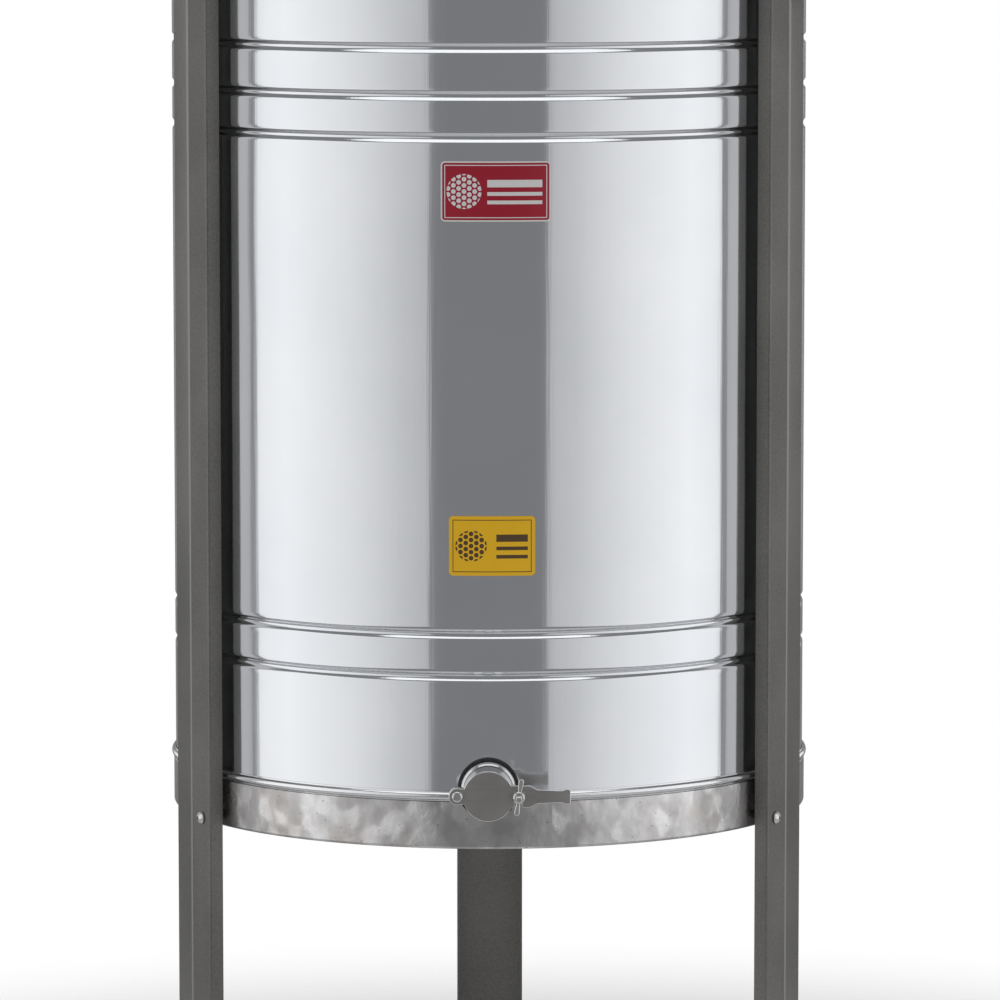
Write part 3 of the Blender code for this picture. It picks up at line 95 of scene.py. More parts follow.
for side in (-1, 1):
    near = Vector((side * 1.03, -2.82, 0))
    far = Vector((side * 2.25, -0.12, 0))
    panel_middle = drum_middle + (near + far) / 2 + Vector((0, 0, 1.05))
    inward = drum_middle + Vector((0, 0, 1.05))
    direction = (far - near).normalized()
    square_on = panel_middle + Vector((-side * abs(direction.y), abs(direction.x), 0))
    glow = [(0.0, 0.34), (0.2, 0.43), (0.5, 0.68), (0.8, 0.87), (1.0, 0.80)]
    if side < 0:
        glow = [(1 - position, level) for position, level in reversed(glow)]
    soft_panel("side_panel", panel_middle, square_on, (far - near).length, 2.7, 1.0, glow)
    beside = drum_middle + Vector((side * 2.25, 0.55, 1.05))
    soft_panel("dim_panel", beside, inward, 1.1, 2.7, 0.30)
    rear = drum_middle + Vector((side * 2.0, 2.9, 1.3))
    soft_panel("rear_panel", rear, inward, 1.5, 2.2, 0.7)
soft_panel("ceiling_panel", drum_middle + Vector((0, -0.2, 3.4)), drum_middle, 3.0, 3.0, 1.0)

world = bpy.data.worlds.new("white_room")
bpy.context.scene.world = world
world.use_nodes = True
room = world.node_tree.nodes["Background"]
path = world.node_tree.nodes.new("ShaderNodeLightPath")
seen = world.node_tree.nodes.new("ShaderNodeMix")
seen.data_type = "RGBA"
seen.inputs["A"].default_value = (0.235, 0.235, 0.24, 1)
seen.inputs["B"].default_value = (1.0, 1.0, 1.0, 1)
world.node_tree.links.new(path.outputs["Is Camera Ray"], seen.inputs["Factor"])
world.node_tree.links.new(seen.outputs["Result"], room.inputs["Color"])

bpy.ops.object.select_all(action="DESELECT")
bpy.ops.mesh.primitive_circle_add(vertices=96, radius=4.0, fill_type="NGON",
                                  location=drum_middle)
floor = bpy.context.object
floor.name = "studio_floor"
bpy.ops.object.transform_apply(location=True)
floor_paint = bpy.data.materials.new("studio_floor")
floor_paint.use_nodes = True
nodes = floor_paint.node_tree.nodes
links = floor_paint.node_tree.links
nodes["Principled BSDF"].inputs["Base Color"].default_value = (0.90, 0.90, 0.90, 1)
nodes["Principled BSDF"].inputs["Roughness"].default_value = 0.8
where = nodes.new("ShaderNodeTexCoord")
distance = nodes.new("ShaderNodeVectorMath")
distance.operation = "LENGTH"
fade_out = nodes.new("ShaderNodeMapRange")
fade_out.interpolation_type = "SMOOTHSTEP"
fade_out.inputs["From Min"].default_value = 0.55
fade_out.inputs["From Max"].default_value = 1.4
fade_out.inputs["To Min"].default_value = 1.0
fade_out.inputs["To Max"].default_value = 0.0
links.new(where.outputs["Object"], distance.inputs[0])
links.new(distance.outputs["Value"], fade_out.inputs["Value"])
links.new(fade_out.outputs["Result"], nodes["Principled BSDF"].inputs["Alpha"])
floor.data.materials.append(floor_paint)


# The drum's wall: one stainless sheet rolled to a cylinder, with five grooves rolled inwards to
# stiffen it, a wired rim rolled at the top and a hole cut for the honey gate. The sheet is
# bright, slightly blue and a little wavy, so that its reflections wander.
sheet = 0.0012
gap = 0.0003                                  # between touching pieces
drum_sides = 192
drum_r = (wall_high.x - wall_low.x) / 2 - 0.0044
rim_top = wall_high.z
bead_r = 0.005
groove_heights = (1.166, 1.121, 1.0815, 0.6087, 0.568)
groove_depth = 0.0030
groove_half = 0.0054


def picked(*pieces):
    """Only these pieces selected, the last one active."""
    bpy.ops.object.select_all(action="DESELECT")
    for piece in pieces:
        piece.select_set(True)
    bpy.context.view_layer.objects.active = pieces[-1]


def turned(name, profile, sides=96, middle=(0, 0, 0), turn=(0, 0, 0)):
    """A profile of (radius, height) points turned about Z. One that doesn't return to its start is capped."""
    bpy.ops.object.select_all(action="DESELECT")
    start_r, start_z = profile[0]
    bpy.ops.mesh.primitive_circle_add(vertices=sides, radius=start_r, location=(0, 0, 0))
    piece = bpy.context.object
    piece.name = name
    bpy.ops.object.mode_set(mode="EDIT")
    bpy.ops.mesh.select_all(action="SELECT")
    bpy.ops.transform.translate(value=(0, 0, start_z))
    for (radius, height), (next_r, next_z) in zip(profile, profile[1:]):
        bpy.ops.mesh.extrude_region_move(TRANSFORM_OT_translate={"value": (0, 0, next_z - height)})
        grow = next_r / radius
        if abs(grow - 1) > 1e-7:
            bpy.ops.transform.resize(value=(grow, grow, 1), center_override=(0, 0, next_z))
    bpy.ops.mesh.select_all(action="SELECT")
    bpy.ops.mesh.remove_doubles(threshold=0.00003)
    if profile[0] != profile[-1]:
        bpy.ops.mesh.fill_holes(sides=0)
    bpy.ops.mesh.normals_make_consistent(inside=False)
    bpy.ops.object.mode_set(mode="OBJECT")
    piece.rotation_euler = turn
    piece.location = middle
    bpy.ops.object.transform_apply(location=True, rotation=True, scale=True)
    return piece


def arc(middle, radius, first, last, steps):
    """Points along a round stretch of a profile, with the angles in degrees."""
    points = []
    for step in range(steps + 1):
        angle = radians(first + (last - first) * step / steps)
        points.append((middle[0] + radius * cos(angle), middle[1] + radius * sin(angle)))
    return points


def finished(piece, material, body, slot, *nodes, smooth=35):
    """Smooth shading, the finish, the body it rides on and the CAD nodes it stands for."""
    picked(piece)
    bpy.ops.object.shade_smooth_by_angle(angle=radians(smooth))
    piece.data.materials.clear()
    piece.data.materials.append(material)
    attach(piece, body)
    if nodes:
        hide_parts(*nodes)
    return piece


def applied(piece, kind, **settings):
    """One modifier, set and applied."""
    picked(piece)
    modifier = piece.modifiers.new(kind.lower(), kind)
    for key, value in settings.items():
        setattr(modifier, key, value)
    bpy.ops.object.modifier_apply(modifier=modifier.name)
    return piece


def cut_by(piece, tool, how="DIFFERENCE"):
    """The tool taken out of the piece, or the piece kept only inside it, and the tool removed."""
    applied(piece, "BOOLEAN", operation=how, solver="EXACT", object=tool)
    bpy.data.objects.remove(tool, do_unlink=True)
    return piece


def joined_to(piece, *tools):
    """The tools welded to the piece as one solid."""
    for tool in tools:
        cut_by(piece, tool, "UNION")
    return piece


def wall_side(radius):
    """The wall's face from the rim down, dipping into each groove."""
    points = []
    for height in groove_heights:
        points.append((radius, height + groove_half + 0.004))
        for step in range(13):
            share = 1 - step / 6
            dip = groove_depth * (0.5 + 0.5 * cos(pi * share)) ** 0.8
            points.append((radius - dip, height + groove_half * share))
        points.append((radius, height - groove_half - 0.004))
    return points


wall_bottom = wall_low.z
bead_middle = (drum_r - sheet / 2, rim_top - bead_r)
side_angle = degrees(asin(sheet / 2 / bead_r))
rim = arc(bead_middle, bead_r, 270 - side_angle, -90 + side_angle, 20)
outside = wall_side(drum_r) + [(drum_r, wall_bottom)]
inside = wall_side(drum_r - sheet) + [(drum_r - sheet, wall_bottom)]
wall = turned("wall", rim + outside + inside[::-1] + [rim[0]], drum_sides, drum_middle)

gate_low, gate_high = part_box("gate_body")
gate_z = (gate_low.z + gate_high.z) / 2


def round_bar(name, radius, start, end, sides=32):
    """A straight round bar between two points."""
    run = Vector(end) - Vector(start)
    bpy.ops.object.select_all(action="DESELECT")
    bpy.ops.mesh.primitive_cylinder_add(vertices=sides, radius=radius, depth=run.length,
                                        location=(Vector(start) + Vector(end)) / 2,
                                        rotation=run.to_track_quat("Z", "Y").to_euler())
    bar = bpy.context.object
    bar.name = name
    bpy.ops.object.transform_apply(location=True, rotation=True, scale=True)
    return bar


def through_wall(radius, height):
    """A bar on the gate's axis, right through the front of the drum."""
    return round_bar("hole", radius, (axis_x, axis_y - drum_r + 0.05, height),
                     (axis_x, axis_y - drum_r - 0.05, height), 64)


cut_by(wall, through_wall(0.0243, gate_z))


def node_group(name, inputs, outputs):
    """An empty shader group with named sockets: inputs as name to default, outputs as name to kind."""
    group = bpy.data.node_groups.new(name, "ShaderNodeTree")
    for label, default in inputs.items():
        socket = group.interface.new_socket(label, in_out="INPUT", socket_type="NodeSocketFloat")
        socket.default_value = default
    for label, kind in outputs.items():
        group.interface.new_socket(label, in_out="OUTPUT", socket_type=kind)
    return group, group.nodes.new("NodeGroupInput"), group.nodes.new("NodeGroupOutput")


def linked(tree, kind, **links_in):
    """A new node with its settings, values and incoming links given by socket name."""
    node = tree.nodes.new(kind)
    for key, value in links_in.items():
        name = key.replace("_", " ")
        if hasattr(node, key) and key not in node.inputs and name not in node.inputs:
            setattr(node, key, value)
            continue
        socket = node.inputs[name] if name in node.inputs else node.inputs[int(key[1:])]
        if isinstance(value, bpy.types.NodeSocket):
            tree.links.new(value, socket)
        else:
            socket.default_value = value
    return node


# Sheet metal is never quite flat or clean: this group gives broad waves and fine rolling grain as
# a normal, and a cloudy mask of wiped and handled patches.
sheet_skin, skin_in, skin_out = node_group(
    "sheet_skin",
    {"Wave": 0.1, "Wave Scale": 5.0, "Grain": 0.05, "Grain Scale": 400.0, "Grain Stretch": 0.02},
    {"Clouds": "NodeSocketFloat", "Marks": "NodeSocketFloat", "Normal": "NodeSocketVector"})
place = linked(sheet_skin, "ShaderNodeTexCoord").outputs["Object"]
waves = linked(sheet_skin, "ShaderNodeTexNoise", Vector=place, Scale=skin_in.outputs["Wave Scale"],
               Detail=1.5)
upright = linked(sheet_skin, "ShaderNodeCombineXYZ", X=1.0, Y=1.0, Z=skin_in.outputs["Grain Stretch"])
drawn = linked(sheet_skin, "ShaderNodeVectorMath", operation="MULTIPLY", _0=place, _1=upright.outputs[0])
grain = linked(sheet_skin, "ShaderNodeTexNoise", Vector=drawn.outputs[0],
               Scale=skin_in.outputs["Grain Scale"],
               Detail=2.0)
wave_bump = linked(sheet_skin, "ShaderNodeBump", Strength=skin_in.outputs["Wave"], Distance=0.02,
                   Height=waves.outputs["Fac"])
grain_bump = linked(sheet_skin, "ShaderNodeBump", Strength=skin_in.outputs["Grain"], Distance=0.001,
                    Height=grain.outputs["Fac"], Normal=wave_bump.outputs["Normal"])
clouds = linked(sheet_skin, "ShaderNodeTexNoise", Vector=place, Scale=7.0, Detail=6.0, Roughness=0.62)
wiped = linked(sheet_skin, "ShaderNodeTexNoise", Vector=drawn.outputs[0], Scale=38.0, Detail=5.0,
               Roughness=0.7)
marks = linked(sheet_skin, "ShaderNodeMapRange", Value=wiped.outputs["Fac"], From_Min=0.45, From_Max=0.75)
sheet_skin.links.new(clouds.outputs["Fac"], skin_out.inputs["Clouds"])
sheet_skin.links.new(marks.outputs["Result"], skin_out.inputs["Marks"])
sheet_skin.links.new(grain_bump.outputs["Normal"], skin_out.inputs["Normal"])


def sheet_metal(name, dark, light, rough_low, rough_high, metallic=1.0, **skin_values):
    """A metal whose colour and gloss drift between two values over the sheet."""
    material = bpy.data.materials.new(name)
    material.use_nodes = True
    tree = material.node_tree
    shader = tree.nodes["Principled BSDF"]
    skin = tree.nodes.new("ShaderNodeGroup")
    skin.node_tree = sheet_skin
    for key, value in skin_values.items():
        skin.inputs[key.replace("_", " ")].default_value = value
    tint = linked(tree, "ShaderNodeMix", data_type="RGBA", Factor=skin.outputs["Clouds"])
    tint.inputs["A"].default_value = (*dark, 1)
    tint.inputs["B"].default_value = (*light, 1)
    gloss = linked(tree, "ShaderNodeMapRange", Value=skin.outputs["Marks"], To_Min=rough_low,
                   To_Max=rough_high)
    tree.links.new(tint.outputs["Result"], shader.inputs["Base Color"])
    tree.links.new(gloss.outputs["Result"], shader.inputs["Roughness"])
    tree.links.new(skin.outputs["Normal"], shader.inputs["Normal"])
    shader.inputs["Metallic"].default_value = metallic
    return material


drum_steel = sheet_metal("drum_steel", (0.70, 0.72, 0.75), (0.82, 0.835, 0.855), 0.09, 0.17,
                         Wave=0.05, Wave_Scale=4.0, Grain=0.03, Grain_Scale=300.0)
finished(wall, drum_steel, "frame", "drum_steel", "drum_wall", smooth=40)


# The lap where the rolled sheet meets itself at the back: a strip of the sheet's edge, pressed flat
# over the other end and welded, running down through the grooves.
lap_out = 0.0008
lap_half_width = 0.007


def placed(piece, matrix):
    """A piece moved by a matrix, with its place kept in its mesh."""
    picked(piece)
    piece.matrix_world = matrix @ piece.matrix_world
    bpy.ops.object.transform_apply(location=True, rotation=True, scale=True)
    return piece


def block(name, low, high):
    """A box between two corners."""
    bpy.ops.object.select_all(action="DESELECT")
    bpy.ops.mesh.primitive_cube_add(size=1, location=(Vector(low) + Vector(high)) / 2,
                                    scale=Vector(high) - Vector(low))
    made = bpy.context.object
    made.name = name
    bpy.ops.object.transform_apply(location=True, rotation=True, scale=True)
    return made


lap_face = [(drum_r + lap_out, rim_top - 2.2 * bead_r)] + wall_side(drum_r + lap_out)
lap_face += [(drum_r + lap_out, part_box("seam_ring")[1].z + 0.0005)]
lap_back = [(radius - 2 * lap_out, height) for radius, height in lap_face]
lap = turned("wall_lap", lap_face + lap_back[::-1] + [lap_face[0]], drum_sides, drum_middle)
lap_window = block("window", (axis_x + 0.10 - lap_half_width, axis_y, 0.4),
                   (axis_x + 0.10 + lap_half_width, axis_y + 0.4, 1.3))
cut_by(lap, lap_window, "INTERSECT")
finished(lap, drum_steel, "frame", "drum_steel")


# The seam ring: the wall's lower edge and the skirt's upper edge rolled together into one
# half-round bead, bright where it has been rubbed, and notched for the gate's flange.
seam_low, seam_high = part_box("seam_ring")
seam_middle = (seam_low.z + seam_high.z) / 2
seam_half = (seam_high.z - seam_low.z) / 2
seam_out = (seam_high.x - seam_low.x) / 2
seam_in = drum_r + gap
bead_half = seam_half - 0.0012
swell = [(seam_in + (radius - seam_in) * (seam_out - seam_in) / bead_half, height)
         for radius, height in arc((seam_in, seam_middle), bead_half, 90, -90, 14)]
seam_profile = [(seam_in, seam_high.z)] + [(seam_in + 0.0004, seam_high.z)] + swell[1:-1]
seam_profile += [(seam_in + 0.0004, seam_low.z), (seam_in, seam_low.z), (seam_in, seam_high.z)]
gate_notch_r = 0.0298
seam = turned("seam", seam_profile, drum_sides, drum_middle)
cut_by(seam, through_wall(gate_notch_r, gate_z))
seam_steel = sheet_metal("seam_steel", (0.72, 0.73, 0.75), (0.86, 0.865, 0.875), 0.12, 0.24,
                         Wave=0.08, Wave_Scale=14.0, Grain=0.05, Grain_Scale=500.0)
finished(seam, seam_steel, "frame", "drum_steel", "seam_ring")


# The skirt under the drum: a band of galvanised sheet with its lower edge drawn in and three pairs
# of bolt holes. The zinc has frozen in dull and bright flowers and greyed where hands have been.
skirt_low, skirt_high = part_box("base_skirt")
skirt_out = (skirt_high.x - skirt_low.x) / 2
skirt_in = skirt_out - sheet
lip = arc((skirt_out - 0.003, skirt_low.z + 0.003), 0.003, 0, -60, 6)
lip_in = [(radius - sheet, height) for radius, height in lip]
lip_top = [(skirt_in + 0.0002, skirt_high.z), (skirt_out - 0.0002, skirt_high.z),
           (skirt_out, skirt_high.z - 0.0002)]
skirt_profile = lip_top + lip + lip_in[::-1] + [lip_top[0]]
skirt = turned("skirt", skirt_profile, drum_sides, drum_middle)
cut_by(skirt, through_wall(gate_notch_r, gate_z))

zinc_flowers, zinc_in, zinc_out = node_group(
    "zinc_flowers", {"Flower Scale": 68.0, "Stretch": 0.75},
    {"Bright": "NodeSocketFloat", "Stain": "NodeSocketFloat", "Specks": "NodeSocketFloat",
     "Normal": "NodeSocketVector"})
place = linked(zinc_flowers, "ShaderNodeTexCoord").outputs["Object"]
taller = linked(zinc_flowers, "ShaderNodeCombineXYZ", X=1.0, Y=1.0, Z=zinc_in.outputs["Stretch"])
spread = linked(zinc_flowers, "ShaderNodeVectorMath", operation="MULTIPLY", _0=place, _1=taller.outputs[0])
warp = linked(zinc_flowers, "ShaderNodeTexNoise", Vector=place, Scale=45.0, Detail=2.0)
warp_more = linked(zinc_flowers, "ShaderNodeVectorMath", operation="SCALE", _0=warp.outputs["Color"],
                   Scale=0.016)
warped = linked(zinc_flowers, "ShaderNodeVectorMath", operation="ADD", _0=spread.outputs[0],
                _1=warp_more.outputs[0])
cells = linked(zinc_flowers, "ShaderNodeTexVoronoi", feature="SMOOTH_F1", Vector=warped.outputs[0],
               Scale=zinc_in.outputs["Flower Scale"], Smoothness=0.65)
cell_tone = linked(zinc_flowers, "ShaderNodeSeparateColor", _0=cells.outputs["Color"])
drift = linked(zinc_flowers, "ShaderNodeTexNoise", Vector=spread.outputs[0], Scale=34.0, Detail=4.0,
               Roughness=0.6)
mixed = linked(zinc_flowers, "ShaderNodeMath", operation="MULTIPLY_ADD", _0=cell_tone.outputs[0], _1=0.45,
               _2=drift.outputs["Fac"])
bright = linked(zinc_flowers, "ShaderNodeMapRange", Value=mixed.outputs[0], From_Min=0.46, From_Max=1.00)
brown = linked(zinc_flowers, "ShaderNodeTexNoise", Vector=spread.outputs[0], Scale=19.0, Detail=3.0)
stain = linked(zinc_flowers, "ShaderNodeMapRange", Value=brown.outputs["Fac"], From_Min=0.52, From_Max=0.74)
dots = linked(zinc_flowers, "ShaderNodeTexVoronoi", Vector=place, Scale=110.0)
speck = linked(zinc_flowers, "ShaderNodeMapRange", Value=dots.outputs["Distance"], From_Min=0.13,
               From_Max=0.04)
dents = linked(zinc_flowers, "ShaderNodeBump", Strength=0.07, Distance=0.006, Height=bright.outputs["Result"])
for label, source in (("Bright", bright.outputs["Result"]), ("Stain", stain.outputs["Result"]),
                      ("Specks", speck.outputs["Result"]), ("Normal", dents.outputs["Normal"])):
    zinc_flowers.links.new(source, zinc_out.inputs[label])


def toned(tree, factor, dark, light):
    """A colour between two by a mask; either may be a socket."""
    mix = tree.nodes.new("ShaderNodeMix")
    mix.data_type = "RGBA"
    tree.links.new(factor, mix.inputs["Factor"])
    for label, colour in (("A", dark), ("B", light)):
        if isinstance(colour, bpy.types.NodeSocket):
            tree.links.new(colour, mix.inputs[label])
        else:
            mix.inputs[label].default_value = (*colour, 1)
    return mix.outputs["Result"]


def new_finish(name, metallic=0.0):
    """An empty finish, its node tree and its shader."""
    material = bpy.data.materials.new(name)
    material.use_nodes = True
    shader = material.node_tree.nodes["Principled BSDF"]
    shader.inputs["Metallic"].default_value = metallic
    return material, material.node_tree, shader


def glossed(tree, shader, mask, low, high):
    """The finish's roughness, between two values by a mask."""
    span = linked(tree, "ShaderNodeMapRange", Value=mask, To_Min=low, To_Max=high)
    tree.links.new(span.outputs["Result"], shader.inputs["Roughness"])


def bumped(tree, shader, height, strength, distance):
    """The finish's small relief."""
    relief = linked(tree, "ShaderNodeBump", Strength=strength, Distance=distance, Height=height)
    tree.links.new(relief.outputs["Normal"], shader.inputs["Normal"])


galvanised, tree, shader = new_finish("galvanised_zinc", 1.0)
zinc = linked(tree, "ShaderNodeGroup", node_tree=zinc_flowers)
grey = toned(tree, zinc.outputs["Bright"], (0.43, 0.42, 0.415), (0.76, 0.75, 0.75))
browned = toned(tree, zinc.outputs["Stain"], grey, (0.44, 0.40, 0.37))
specked = toned(tree, zinc.outputs["Specks"], browned, (0.33, 0.31, 0.30))
tree.links.new(specked, shader.inputs["Base Color"])
glossed(tree, shader, zinc.outputs["Bright"], 0.36, 0.24)
tree.links.new(zinc.outputs["Normal"], shader.inputs["Normal"])

leg_angles = {"left": -60, "right": 60, "back": 180}
lower_bolt_shift = 0.019
bolt_hole = 0.0033


def around(angle):
    """Turns what is drawn on the front of the drum round to an angle, and puts it on the axis."""
    return Matrix.Translation(drum_middle) @ Matrix.Rotation(radians(angle), 4, "Z")


def radial_bar(radius, inner, outer, height, angle, shift=0.0, sides=24):
    """A round bar that points out from the drum."""
    return placed(round_bar("bar", radius, (shift, -inner, height), (shift, -outer, height), sides),
                  around(angle))


lower_bolt_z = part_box("lower_bolt_left")[0].z + 0.006
upper_bolt_z = (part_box("upper_bolt_left")[0].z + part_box("upper_bolt_left")[1].z) / 2
for place_name, angle in leg_angles.items():
    shift = lower_bolt_shift if angle < 0 else -lower_bolt_shift
    cut_by(skirt, radial_bar(bolt_hole, drum_r - 0.03, drum_r + 0.03, lower_bolt_z, angle, shift))
    cut_by(wall, radial_bar(bolt_hole, drum_r - 0.03, drum_r + 0.03, upper_bolt_z, angle))
finished(skirt, galvanised, "frame", "galvanised", "base_skirt")
finished(wall, drum_steel, "frame", "drum_steel", smooth=40)


# The drum's floor: one pressed steel sheet, a shallow cone that sheds the honey outwards to the
# gate, with a turned-down flange that is welded inside the wall.
floor_low, floor_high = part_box("drum_floor")
floor_edge = (floor_high.x - floor_low.x) / 2
floor_rise = 0.450
fold = 0.0025
floor_skin = [(floor_edge, floor_low.z)] + arc((floor_edge - fold, floor_rise - fold), fold, 0, 80, 6)
floor_skin += [(0.24, 0.4545), (0.12, 0.4643), (0.045, floor_high.z - 0.0008), (0.030, floor_high.z)]
underside = [(radius - sheet * (1 if height < floor_rise - fold else 0.35), height - sheet *
              (0 if height <= floor_low.z else 1)) for radius, height in floor_skin]
floor_cap = [(0.0006, floor_high.z)]
floor_loop = [(0.0006, floor_high.z - sheet)] + underside[::-1] + floor_skin + floor_cap
drum_bottom = turned("drum_bottom", floor_loop, 96, drum_middle)
pressed_steel = sheet_metal("pressed_steel", (0.58, 0.59, 0.61), (0.74, 0.75, 0.76), 0.16, 0.34,
                            Wave=0.07, Wave_Scale=6.0, Grain=0.10, Grain_Scale=260.0, Grain_Stretch=1.0)
finished(drum_bottom, pressed_steel, "frame", "sheet_steel", "drum_floor", smooth=25)


# The three legs: channels folded from sheet, their web creased down the middle for stiffness, and
# painted in a warm metallic grey. Each is bolted through a shoulder under the rim and low down
# through the skirt, and stands in a flat foot plate.
leg_low, leg_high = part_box("leg_back")
leg_width = 0.069
leg_sheet = 0.0016
leg_inner = 0.3198
leg_corner = 0.3343
leg_ridge = 0.3365
bend = 0.0028


def flat_piece(name, loops, thickness, edge, matrix=Matrix.Identity(4)):
    """An outline with its holes as a plate about its own middle, edges rounded, then placed."""
    outline = bpy.data.curves.new(name, "CURVE")
    outline.dimensions = "2D"
    outline.fill_mode = "BOTH"
    outline.extrude = thickness / 2 - edge
    outline.bevel_depth = edge
    outline.bevel_resolution = 2
    outline.offset = -edge
    for loop in loops:
        spline = outline.splines.new("POLY")
        spline.points.add(len(loop) - 1)
        for point, (across, up) in zip(spline.points, loop):
            point.co = (across, up, 0, 1)
        spline.use_cyclic_u = True
    made = bpy.data.objects.new(name, outline)
    bpy.context.scene.collection.objects.link(made)
    picked(made)
    bpy.ops.object.convert(target="MESH")
    made = bpy.context.object
    made.name = name
    bpy.ops.object.mode_set(mode="EDIT")
    bpy.ops.mesh.select_all(action="SELECT")
    bpy.ops.mesh.remove_doubles(threshold=0.00001)
    bpy.ops.mesh.normals_make_consistent(inside=False)
    bpy.ops.object.mode_set(mode="OBJECT")
    return placed(made, matrix)


def channel_section():
    """The leg's folded section as (across, out): outer face, then the inner one back."""
    half = leg_width / 2
    shoulder = leg_corner - bend
    outside = [(-half, -leg_inner)] + arc((-half + bend, -shoulder), bend, 180, 274, 6)
    outside += [(-0.0042, -leg_ridge + 0.0009), (-0.0022, -leg_ridge + 0.0005)]
    outside += arc((0, -leg_ridge + 0.0024), 0.0024, 235, 305, 8)
    outside += [(0.0022, -leg_ridge + 0.0005), (0.0042, -leg_ridge + 0.0009)]
    outside += arc((half - bend, -shoulder), bend, 266, 360, 6) + [(half, -leg_inner)]
    inner_bend = bend - leg_sheet
    half_in = half - leg_sheet
    inside = [(half_in, -leg_inner)] + arc((half - bend, -shoulder), inner_bend, 360, 266, 4)
    inside += [(0, -leg_ridge + leg_sheet)] + arc((-half + bend, -shoulder), inner_bend, 274, 180, 4)
    return outside + inside + [(-half_in, -leg_inner)]


leg_paint, tree, shader = new_finish("leg_paint", 0.45)
place = linked(tree, "ShaderNodeTexCoord").outputs["Object"]
flake = linked(tree, "ShaderNodeTexVoronoi", Vector=place, Scale=900.0)
flake_tone = linked(tree, "ShaderNodeSeparateColor", _0=flake.outputs["Color"])
settled = linked(tree, "ShaderNodeTexNoise", Vector=place, Scale=9.0, Detail=4.0)
tone = linked(tree, "ShaderNodeMath", operation="MULTIPLY_ADD", _0=flake_tone.outputs[0], _1=0.35,
              _2=settled.outputs["Fac"])
tone_range = linked(tree, "ShaderNodeMapRange", Value=tone.outputs[0], From_Min=0.35, From_Max=0.95)
paint = toned(tree, tone_range.outputs["Result"], (0.125, 0.122, 0.115), (0.205, 0.200, 0.188))
scuffs = linked(tree, "ShaderNodeTexNoise", Vector=place, Scale=70.0, Detail=6.0, Roughness=0.75)
scuffed = linked(tree, "ShaderNodeMapRange", Value=scuffs.outputs["Fac"], From_Min=0.70, From_Max=0.82)
paint = toned(tree, scuffed.outputs["Result"], paint, (0.30, 0.295, 0.285))
# Painted highlight: the paint is lightened along the web's ridge, marked by the crest attribute, to stand for
# the bright line that light draws on the crease.
ridge_highlight_mask = linked(tree, "ShaderNodeAttribute", attribute_name="crest")
tree.links.new(toned(tree, ridge_highlight_mask.outputs["Fac"], paint, (0.31, 0.305, 0.285)), shader.inputs["Base Color"])
glossed(tree, shader, settled.outputs["Fac"], 0.30, 0.50)
orange_peel = linked(tree, "ShaderNodeTexNoise", Vector=place, Scale=330.0, Detail=1.0)
bumped(tree, shader, orange_peel.outputs["Fac"], 0.12, 0.0006)
shader.inputs["Coat Weight"].default_value = 0.25
shader.inputs["Coat Roughness"].default_value = 0.25

leg_middle_z = (leg_low.z + leg_high.z) / 2
for place_name, angle in leg_angles.items():
    leg = flat_piece("folded_leg_" + place_name, [channel_section()], leg_high.z - leg_low.z, 0.0004,
                     around(angle) @ Matrix.Translation((0, 0, leg_middle_z)))
    shift = lower_bolt_shift if angle < 0 else -lower_bolt_shift
    cut_by(leg, radial_bar(bolt_hole, drum_r, drum_r + 0.03, lower_bolt_z, angle, shift))
    cut_by(leg, radial_bar(bolt_hole, drum_r, drum_r + 0.03, upper_bolt_z, angle))
    # Marks the ridge strip of the web, where the leg paint carries its painted highlight.
    crest = leg.data.attributes.new("crest", "FLOAT", "POINT")
    for vertex, mark in zip(leg.data.vertices, crest.data):
        spot = around(angle).inverted() @ vertex.co
        mark.value = float(abs(spot.x) < 0.0018 and spot.y < 0.001 - leg_ridge)
    finished(leg, leg_paint, "frame", "leg_paint", "leg_" + place_name, smooth=32)


# Foot plates: flat bars with rounded corners under the legs, drilled for a floor screw, in the
# same paint as the legs.
foot_low, foot_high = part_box("foot_plate_back")
foot_outer = 0.3598
foot_length = 0.052
foot_width = 0.075
foot_corner = 0.006
foot_hole_in = 0.011


def rounded_outline(middle, width, height, corner):
    """A rectangle with round corners as a list of points."""
    points = []
    for turn, (right, top) in zip((0, 90, 180, 270), ((1, 1), (-1, 1), (-1, -1), (1, -1))):
        centre = (middle[0] + right * (width / 2 - corner), middle[1] + top * (height / 2 - corner))
        points += arc(centre, corner, turn, turn + 90, 6)
    return points


for place_name, angle in leg_angles.items():
    plate = rounded_outline((0, -foot_outer + foot_length / 2), foot_width, foot_length, foot_corner)
    screw_hole = arc((0, -foot_outer + foot_hole_in), 0.0045, 0, 345, 23)
    foot = flat_piece("foot_" + place_name, [plate, screw_hole], foot_high.z - foot_low.z, 0.0006,
                      around(angle) @ Matrix.Translation((0, 0, (foot_low.z + foot_high.z) / 2)))
    finished(foot, leg_paint, "frame", "leg_paint", "foot_plate_" + place_name)


# The leg bolts: zinc-plated button-head screws with a hex socket and a hex nut inside the drum.
# The upper ones have a shoulder that holds the leg off the wall, and a plain steel sleeve does
# the same for the lower ones.
bolt_r = 0.003
head_height = 0.0035
nut_height = 0.004
plated, tree, shader = new_finish("zinc_plate", 1.0)
place = linked(tree, "ShaderNodeTexCoord").outputs["Object"]
tarnish = linked(tree, "ShaderNodeTexNoise", Vector=place, Scale=160.0, Detail=4.0)
tree.links.new(toned(tree, tarnish.outputs["Fac"], (0.55, 0.545, 0.53), (0.84, 0.84, 0.83)),
               shader.inputs["Base Color"])
glossed(tree, shader, tarnish.outputs["Fac"], 0.12, 0.30)
tool_marks = linked(tree, "ShaderNodeTexNoise", Vector=place, Scale=900.0, Detail=2.0)
bumped(tree, shader, tool_marks.outputs["Fac"], 0.1, 0.0003)


